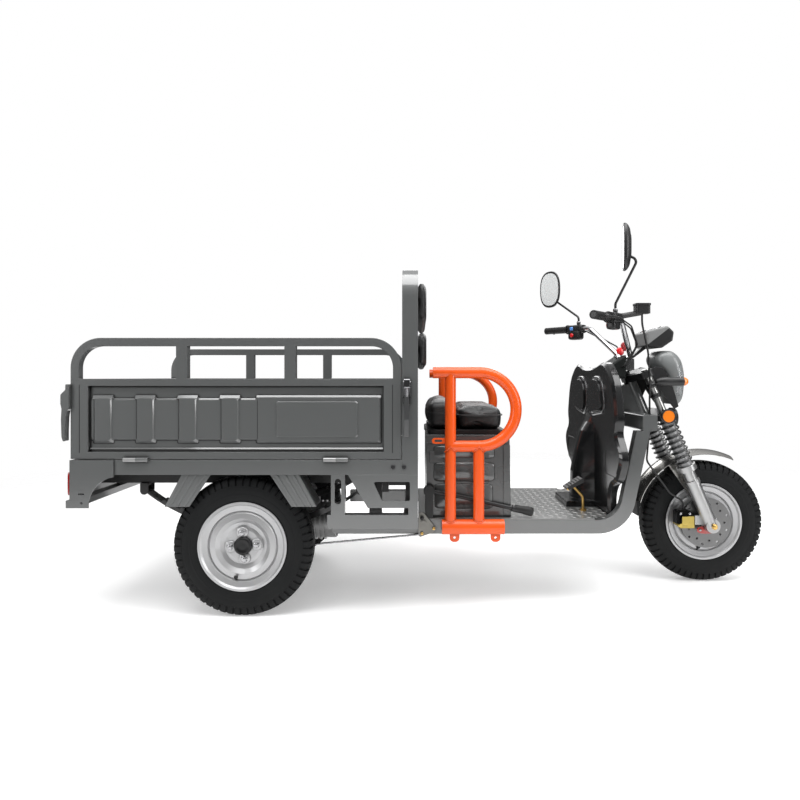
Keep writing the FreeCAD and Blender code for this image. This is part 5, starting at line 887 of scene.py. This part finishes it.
slope = np.array([0.0660, 0, 0.0360]) / math.hypot(0.0660, 0.0360)
square = np.array([-slope[2], 0, slope[0]])
ridges = []
for share in (0.16, 0.33, 0.50, 0.67, 0.84):
    middle = np.array([0.5175, -0.190, 0.434]) + slope * share * 0.0735 + square * (0.0135 + 0.0042 * share)
    ridges.append(roped(np.stack([middle + [0, -0.027, 0], middle + [0, 0.027, 0]]), 0.0026, closed=False))
fitted("pedal_ridges", ridges, grip_rubber, "root")
lever_profile = [(-0.0030, 0.0080), (-0.0010, 0.0150), (0.006, 0.0178), (0.020, 0.0184), (0.040, 0.0162),
                 (0.060, 0.0138), (0.072, 0.0122), (0.076, 0.0095)]
put("parking_lever_grip", *lathed(lever_profile, (0.3500, -0.3180, 0.3672), (-0.975, 0, 0.2225), 40),
    grip_rubber, "root")
shapes = [round_head((x, -0.3491, z), (0, -1, 0), 0.0062, 0.004) for x, z in ((-0.0425, 0.3085), (-0.0890, 0.2890))]
fitted("bell_crank_pins", shapes, brass, "root")
put("bell_crank_pivot", *round_head((-0.0890, -0.3491, 0.3500), (0, -1, 0), 0.0080, 0.005), dark_bolt, "root")


# The seat box: folded and spot-welded steel in dark grey enamel, each side stiffened by three pressed
# panels. It carries the seat and hides the battery case that lies in it.
box_paint = paint("seat_box_enamel", (0.066, 0.069, 0.069), 0.28, 0.5, 0.5, 0.05, 0.5, 0.003).onto("seat_box")
shapes, edges = [], []
for side in (-1, 1):
    for left, right, bottom, top in ((-0.041, 0.201, 0.579, 0.628), (-0.041, 0.201, 0.486, 0.561),
                                     (-0.041, 0.194, 0.375, 0.477)):
        panel = rounded_outline((right - left) / 2, (top - bottom) / 2, 9.0, 64)
        spot = np.array([(left + right) / 2, side * 0.2995, (bottom + top) / 2])
        shapes.append(plaque(panel, spot, (-side, 0, 0), (0, 0, 1), 0.0026, 0.0022))
        # Painted shade: a thin dark cord round the foot of each pressed panel.
        edges.append(roped(np.insert(panel + spot[[0, 2]], 1, side * 0.3001, axis=1), 0.0012, sides=6))
fitted("seat_box_panels", shapes, box_paint, "root")
fitted("seat_box_painted_shade", edges, seam_and_shade_black, "root")
moulded.onto("seat_base", "battery_pack")


# The side guards: round steel tube bent to a loop on two posts, welded to a foot tube that is bolted under
# the floor, and powder coated orange. A bead of weld follows each joint of post and tube.
orange_coat = Finish("orange_powder_coat", (0.70, 0.080, 0.006), 0.30,
                     {"Coat Weight": 0.22, "Specular IOR Level": 0.35, "Coat Roughness": 0.08})
orange_coat.uneven(8.0, 0.06, 0.05).softened(0.0012).grained(380.0, 0.00010, 0.3).onto("side_guards")
# Painted shade: the orange turns darker in its inner corners.
orange_coat.painted_corner_shade(0.010, 0.6, (0.12, 0.012, 0.002))
round_turn = np.linspace(0, 2 * np.pi, 40, endpoint=False)
guard_line, post_radius = 0.370, 0.0212


def weld_bead(x, side, tube_height, tube_radius, above):
    """A bead round a post where it meets a level tube: height = tube's middle plus or minus
    the root of tube radius squared less the square of the distance across the tube."""
    across = (post_radius + 0.0008) * np.sin(round_turn)
    level = np.sqrt(np.maximum(tube_radius ** 2 - across ** 2, 1e-8))
    ripple = 1 + 0.12 * np.sin(round_turn * 13)
    path = np.stack([x + (post_radius + 0.0008) * np.cos(round_turn), side * guard_line + across,
                     tube_height + (level if above else -level)], -1)
    return roped(path, 0.0030 * ripple)


shapes = [weld_bead(x, side, height, radius, above) for side in (-1, 1) for x in (0.0215, 0.1315)
          for height, radius, above in ((0.321, 0.029, True), (0.634, 0.022, False))]
fitted("guard_weld_beads", shapes, orange_coat, "root")


# The leg shield: one deep moulding of gloss black plastic with two pockets, a tunnel over the steering
# column and wings that turn back at the edges.
shell_gloss = Finish("gloss_black_shell", (0.0060, 0.0063, 0.0066), 0.20,
                     {"Coat Weight": 0.30, "Coat Roughness": 0.08, "Specular IOR Level": 0.40})
shell_gloss.uneven(7.0, 0.1, 0.08).softened(0.0045).onto("leg_shield")
shield_face = 0.660


def rolled_rim(path, wide, proud):
    """A rim that stands round a flat closed path in the shield's face: at each place half an ellipse,
    `wide` outwards from the path and `proud` of the face."""
    ahead = np.roll(path, -1, 0) - np.roll(path, 1, 0)
    ahead /= np.linalg.norm(ahead, axis=1, keepdims=True)
    outward = np.stack([ahead[:, 1], -ahead[:, 0]], -1)
    if ((path - path.mean(0)) * outward).sum() < 0:
        outward = -outward
    angle = np.linspace(0, math.pi, 9)
    flat = path[:, None] + outward[:, None] * (wide / 2 * (1 - np.cos(angle)))[:, None]
    face = np.broadcast_to(shield_face + 0.0008 - proud * np.sin(angle), flat.shape[:2])
    points = np.concatenate([face[..., None], flat], -1)
    count = len(angle)
    closed = grid_faces(len(path) + 1, count, around=True)
    faces = (np.asarray(closed) % (len(path) * count)).tolist()
    return points.reshape(-1, 3), faces


# Painted highlight: the rolled rims take a lighter black than the shell they are moulded with, with a glossier coat.
painted_rim_highlight = Finish("rolled_rim_with_painted_highlight", (0.020, 0.021, 0.022), 0.24, {"Coat Weight": 0.7, "Coat Roughness": 0.1})
painted_rim_highlight.uneven(7.0, 0.1, 0.08)
# Painted shade: the pockets' inner faces take a darker matt black than the shell.
pocket_shade = Finish("pocket_painted_shade", (0.0030, 0.0030, 0.0032), 0.6, {"Specular IOR Level": 0.15})
pocket_shade.uneven(20.0, 0.2, 0.1)
picked("leg_shield", pocket_shade, lambda x, y, z, facing: (x > shield_face + 0.003) & (x < 0.694)
       & (z > 0.750) & (z < 0.890) & (abs(abs(y) - 0.135) < 0.0995))
pocket = np.array([(-0.236, 0.768), (-0.064, 0.748), (-0.034, 0.778), (-0.034, 0.892), (-0.196, 0.892)])
for label, flip in (("right", 1), ("left", -1)):
    path = filleted(pocket * [flip, 1], (0.034, 0.034, 0.012, 0.070, 0.070))
    welded(put(f"pocket_rim_{label}", *rolled_rim(path, 0.016, 0.006), painted_rim_highlight, "root"))


# The fork: chromed tubes in black clamps, sliding in cast alloy legs, each inside a black coil spring
# over a grey sleeve. The right leg carries the caliper's red bracket; brass nuts close the axle.
black_paint.onto("fork_clamps")
chrome = Finish("bright_chrome", (0.50, 0.50, 0.51), 0.16, {"Metallic": 1.0}).uneven(20.0, 0.08, 0.05)
satin_chrome = Finish("satin_chrome", (0.40, 0.40, 0.39), 0.30, {"Metallic": 1.0})
satin_chrome.uneven(20.0, 0.1, 0.08).onto("fork_stanchions")
slider_alloy = Finish("slider_alloy", (0.40, 0.40, 0.40), 0.36, {"Metallic": 0.95})
slider_alloy.uneven(16.0, 0.18, 0.12).softened(0.0012).grained(900.0, 0.00012, 0.4).onto("fork_sliders")
sleeve_grey = Finish("sleeve_grey", (0.30, 0.30, 0.305), 0.4, {"Metallic": 0.3}).uneven(20.0, 0.2, 0.1)
spring_paint.onto("fork_springs")
lean_back, leg_line = np.array([-0.3907, 0, 0.9205]), 0.110


def off_leg(x, y, z):
    """How far a point is from the nearer leg's line, which leans back through the axle."""
    return np.hypot((x - front_axle) * 0.9205 + (z - axle_height) * 0.3907, abs(y) - leg_line)


picked("fork_springs", sleeve_grey, lambda x, y, z, facing: off_leg(x, y, z) < 0.0285)
picked("fork_sliders", brass, lambda x, y, z, facing: (abs(y) > 0.1395)
       & (np.hypot(x - front_axle, z - axle_height) < 0.02))
shapes = [hexagon_head((front_axle, side * 0.1440, axle_height), (0, side, 0), 0.019, 0.009, 0.0125)
          for side in (-1, 1)]
fitted("front_axle_nuts", shapes, brass, "fork")
red_bracket = paint("red_bracket", (0.42, 0.016, 0.012), 0.35, 0.4, 0.5, 0.05)
put("caliper_bracket", *plaque(rounded_outline(0.043, 0.0165, 2.6), (1.1420, -0.1035, 0.2440), (1, 0, 0.04),
                               (0, 0, 1), 0.0040), red_bracket, "fork")
shapes = [hexagon_head((x, -0.1075, z), (0, -1, 0), 0.009, 0.004) for x, z in ((1.112, 0.243), (1.172, 0.246))]
fitted("bracket_bolts", shapes, plated, "fork")


# The front wheel's guard and brake: a rolled stainless mudguard with a rubber flap, a ground steel disc on
# five bolts, and a gold-anodised caliper with a black hose block.
stainless = Finish("polished_stainless", (0.46, 0.45, 0.43), 0.22, {"Metallic": 1.0})
stainless.uneven(14.0, 0.12, 0.10, (1, 6, 1)).onto("front_fender")
tyre_rubber.onto("mud_flap")
disc_steel = Finish("ground_disc_steel", (0.17, 0.17, 0.17), 0.38, {"Metallic": 1.0})
disc_steel.uneven(30.0, 0.2, 0.12).onto("brake_disc")
gold = Finish("gold_anodised", (0.47, 0.36, 0.10), 0.34, {"Metallic": 1.0})
split = gold.axes()
black_block = ((split[2] > 0.3000) + (split[0] < 1.0360) * (split[2] > 0.2680)).clipped()
gold.uneven(40.0, 0.35, 0.14).shift(black_block, (0.006, 0.006, 0.006)).softened(0.0008).onto("brake_caliper")
turns = np.radians(np.arange(5) * 72 + 18)
shapes = [hexagon_head((front_axle + 0.043 * math.cos(t), -0.0660, axle_height + 0.043 * math.sin(t)), (0, -1, 0),
                       0.009, 0.0042, 0.0062) for t in turns]
fitted("disc_bolts", shapes, plated, "front_wheel_body")
shapes = [hexagon_head((x, -0.1002, z), (0, -1, 0), 0.0095, 0.006) for x, z in ((1.0700, 0.3120), (1.030, 0.312))]
covers = [lathed([(-0.002, radius), (0.0035, radius), (0.0050, radius - 0.0018), (0.0052, 0.002)], (x, -0.1000, z),
                 (0, -1, 0), 36) for x, z, radius in ((1.0500, 0.2780, 0.0165), (1.0270, 0.2620, 0.0095))]
fitted("caliper_covers", covers, gold, "fork")
fitted("caliper_bolts", shapes, plated, "fork")


# The handlebar: chromed tube with ribbed rubber grips, moulded switch pods that hang below the bar,
# levers on pivots, a fluid box with a screwed lid, and two mirrors on threaded stalks.
chrome.onto("handlebar")
(tip_x, tip_y, tip_z), (bar_in, bar_back) = (0.5605, 0.430, 1.140), (0.6476, 0.7619)
moulded.onto("hand_controls", "mirrors")
picked("handlebar", moulded, lambda x, y, z, facing: np.hypot(np.hypot(x - tip_x, z - tip_z),
                                                                         abs(y) - tip_y) < 0.016)
ribbed_grip = Finish("ribbed_grip", (0.010, 0.010, 0.010), 0.58, {"Specular IOR Level": 0.35})
split = ribbed_grip.axes()
down_bar = split[0] * bar_in - abs(split[1]) * bar_back
ribbed_grip.uneven(30.0, 0.2, 0.12).relief(down_bar.repeat(0.0062) > 0.0031, 0.0012, 0.9).onto("grips")
mirror_silver = Finish("mirror_silver", (0.84, 0.86, 0.86), 0.06, {"Metallic": 0.35})
mirror_silver.uneven(20.0, 0.02, 0.01).onto("mirror_glass")


def on_bar(side, along, ahead, up):
    """A place beside the bar's sloping end: measured inwards from its tip, ahead of it and above it."""
    return (np.array([tip_x, side * tip_y, tip_z]) + np.array([bar_in, -side * bar_back, 0]) * along
            + np.array([bar_back, side * bar_in, 0]) * ahead + np.array([0, 0, 1.0]) * up)


def lobe(side, low, high):
    """A rounded block whose three axes are the bar's: inwards, ahead and up."""
    points, faces = rounded_box(low, high, 5.0, 14)
    return on_bar(side, points[:, :1], points[:, 1:2], points[:, 2:]), faces


for label, side, low, high in (("right", -1, (0.148, -0.018, -0.047), (0.214, 0.022, -0.006)),
                               ("left", 1, (0.146, -0.020, -0.053), (0.218, 0.022, -0.006))):
    welded(put(f"switch_lobe_{label}", *lobe(side, low, high), moulded, "fork"))
button_blue = Finish("button_blue", (0.09, 0.25, 0.62), 0.35, {"Coat Weight": 0.3}).uneven(60.0, 0.15)
button_red = Finish("button_red", (0.60, 0.010, 0.014), 0.30, {"Coat Weight": 0.4}).uneven(60.0, 0.15)
button = [(-0.004, 0.0100), (0.0020, 0.0100), (0.0036, 0.0088), (0.0044, 0.0060), (0.0046, 0.0020)]
for label, side, along, high, finish in (("high_beam", 1, 0.170, 0.001, button_blue),
                                         ("horn", 1, 0.172, -0.031, button_red),
                                         ("stop", -1, 0.176, -0.028, button_red)):
    rider_face = np.array([-bar_back, -side * bar_in, 0])
    put(f"{label}_button", *lathed(button, on_bar(side, along, -0.0195, high), rider_face, 28), finish, "fork")

shapes = []
for side in (-1, 1):
    shapes.append(hexagon_head(on_bar(side, 0.161, 0.022, 0.006), (0, 0, 1), 0.012, 0.006))
    shapes.append(hexagon_head(on_bar(side, 0.196, 0.004, 0.028), (0, 0, 1), 0.017, 0.010))
shapes += [round_head((x, y, 1.2005), (0, 0, 1), 0.0032, 0.0016) for x in (0.7815, 0.8275) for y in (-0.280, -0.244)]
fitted("bar_fasteners", shapes, plated, "fork")


# The instrument and the column cowl: a black moulded box with a smoked glass over a generic speed scale,
# and below it the column's cowl with the key in its lock on a red fob.
cowl_plastic = Finish("cowl_plastic", (0.0085, 0.0100, 0.0095), 0.62, {"Specular IOR Level": 0.18})
cowl_plastic.uneven(18.0, 0.15, 0.1).softened(0.002).grained(1200.0, 0.0001).onto("steering_cowl")
meter_case = Finish("meter_case", (0.0085, 0.0085, 0.009), 0.40, {"Specular IOR Level": 0.35})
split = meter_case.axes()
over_seam = (split[2] - 1.042) - (split[0] - 0.899) * 0.775
meter_case.uneven(18.0, 0.15, 0.1).shift(over_seam > 0.004, (0.16, 0.162, 0.162)).softened(0.002)
meter_case.onto("instrument_panel")
smoked_glass = Finish("smoked_glass", (0.12, 0.125, 0.125), 0.10, {"Coat Weight": 0.8}).uneven(20.0, 0.1, 0.02)
picked("instrument_panel", smoked_glass, lambda x, y, z, facing: (facing[:, 2] > 0.9) & (z > 1.09))
dial_normal, dial_right = np.array([-0.2377, 0, 0.971]), np.array([0, -1.0, 0])
dial_middle = np.array([0.9385, 0, 1.1160])
bezel = [(-0.002, 0.046), (0.0028, 0.046), (0.0036, 0.0445), (0.0028, 0.0415), (0.0006, 0.0405), (-0.002, 0.0405)]
put("dial_bezel", *lathed(bezel, dial_middle, dial_normal, 64, ring=True), chrome, "fork")
dial_card = Finish("dial_card", (0.020, 0.021, 0.022), 0.4, {"Coat Weight": 0.9, "Coat Roughness": 0.05})
dial_card.uneven(40.0, 0.1, 0.04)
put("dial_face", *lathed([(-0.001, 0.0404), (0.0004, 0.0404), (0.0004, 0.0010)], dial_middle, dial_normal, 64),
    dial_card, "fork")
scale_white = Finish("scale_white", (0.75, 0.76, 0.76), 0.5).uneven(60.0, 0.05)
dial_up = np.cross(dial_normal, dial_right)
shapes = []
for step in range(25):
    turn, long = math.radians(-120 + 10 * step), 0.007 if step % 4 == 0 else 0.004
    out = dial_right * math.sin(turn) - dial_up * math.cos(turn)
    shapes.append(plaque(rounded_outline(0.0007, long / 2, 8.0, 12), dial_middle + out * (0.0375 - long / 2)
                         + dial_normal * 0.0004, np.cross(out, dial_normal), out, 0.0004, 0.0001))
fitted("speed_scale", shapes, scale_white, "fork")
out = dial_right * math.sin(-2.0) - dial_up * math.cos(-2.0)
pointer = [(-0.0014, -0.006), (0.0014, -0.006), (0.0004, 0.030), (-0.0004, 0.030)]
shapes = [plaque(pointer, dial_middle + dial_normal * 0.0010, np.cross(out, dial_normal), out, 0.0008, 0.0002),
          lathed([(0.0, 0.005), (0.0022, 0.005), (0.0028, 0.003)], dial_middle, dial_normal, 24)]
fitted("speed_needle", shapes, button_red, "fork")

lock_profile = [(-0.003, 0.0135), (0.004, 0.0135), (0.0055, 0.0120), (0.0135, 0.0110), (0.0140, 0.0040)]
put("ignition_lock", *lathed(lock_profile, (0.7860, -0.030, 0.9885), (-0.548, 0, 0.8365), 36), plated, "fork")
put("key_fob", *plaque(rounded_outline(0.0155, 0.0180, 2.4), (0.7930, -0.0255, 1.0165), (1, 0, 0.3), (-0.3, 0, 1),
                       0.0085, 0.0024), button_red, "fork")
fob_dark = Finish("fob_dark_red", (0.26, 0.012, 0.014), 0.28, {"Coat Weight": 0.5}).uneven(60.0, 0.15)
put("key_fob_case", *plaque(rounded_outline(0.0160, 0.0205, 2.4), (0.8130, -0.0275, 1.0380), (1, 0, 0.35),
                            (-0.35, 0, 1), 0.0075, 0.0020), fob_dark, "fork")


# The head lamp: a grey moulded shell with a clear lens over a bright dish and bulb, hung between two
# black sheet ears that are clamped to the fork's tubes.
lamp_shell = Finish("lamp_shell_grey", (0.150, 0.158, 0.158), 0.34, {"Coat Weight": 0.25})
lamp_shell.uneven(14.0, 0.12, 0.08).softened(0.0012).onto("head_lamp")
clear_lens = Finish("clear_lens", (0.93, 0.95, 0.96), 0.05, {"Transmission Weight": 0.9, "IOR": 1.3})
clear_lens.uneven(20.0, 0.02, 0.03).onto("head_lamp_lens")
picked("head_lamp", chrome, lambda x, y, z, facing: (np.hypot(y, z - 0.890) < 0.0612)
       & (x > 0.995) & (facing[:, 0] > 0.05))
put("lamp_bulb", *lathed([(0.0, 0.0085), (0.004, 0.0085), (0.0045, 0.0062), (0.012, 0.0062), (0.0155, 0.0045),
                          (0.0170, 0.0012)], (1.0010, 0, 0.890), (1, 0, 0), 24), scale_white, "fork")
ear = [(0.880, 0.925), (0.926, 0.948), (0.955, 0.944), (0.985, 0.900), (1.008, 0.838), (1.026, 0.776), (1.008, 0.764),
       (0.975, 0.806), (0.950, 0.845), (0.930, 0.800), (0.914, 0.806)]
shapes = [plaque(ear[::-1], (0, y, 0), (1, 0, 0), (0, 0, 1), 0.0030) for y in (-0.0900, 0.0930)]
fitted("lamp_ears", shapes, black_paint, "fork", smooth=False)
clamp = [(-0.009, 0.0195), (0.009, 0.0195), (0.009, 0.0168), (-0.009, 0.0168)]
shapes = [lathed(clamp, np.array([front_axle, side * leg_line, axle_height]) + lean_back * along, lean_back, 40,
                 ring=True) for side in (-1, 1) for along in (0.608, 0.655)]
fitted("lamp_ear_clamps", shapes, black_paint, "fork")


# The turn signals and side reflectors: black bullets with an amber tip on short stalks, and round amber
# reflectors in black rims, bolted to the fork's lower clamp.
moulded.onto("front_indicators")
amber_lens = Finish("amber_lens", (0.80, 0.20, 0.012), 0.18, {"Coat Weight": 0.6})
spread = amber_lens.axes()
hatch = abs((spread[0] + spread[2]).repeat(0.006) - 0.003) + abs((spread[0] - spread[2]).repeat(0.006) - 0.003)
amber_lens.uneven(30.0, 0.2, 0.04).relief(hatch / 0.006, 0.0006, 0.4)
picked("front_indicators", amber_lens, lambda x, y, z, facing: ((x > 1.0160) & (z > 0.85))
       | ((z < 0.80) & (abs(y) > 0.1560)))
reflector_rim = [(-0.0080, 0.0312), (0.0, 0.0312), (0.0014, 0.0300), (0.0016, 0.0262), (0.0008, 0.0250),
                 (-0.0080, 0.0250)]
shapes = [lathed(reflector_rim, (0.9575, side * 0.1570, 0.7363), (0, side, 0), 56, ring=True) for side in (-1, 1)]
fitted("reflector_rims", shapes, moulded, "fork")


# The cables and the hose: plastic-sheathed steel cables from the levers into the cowl, and a rubber brake
# hose from the fluid box down to the caliper.
cable_black = Finish("cable_sheath", (0.0095, 0.0095, 0.010), 0.45, {"Specular IOR Level": 0.4})
cable_black.uneven(40.0, 0.2, 0.1).onto("brake_hose", "control_cables")
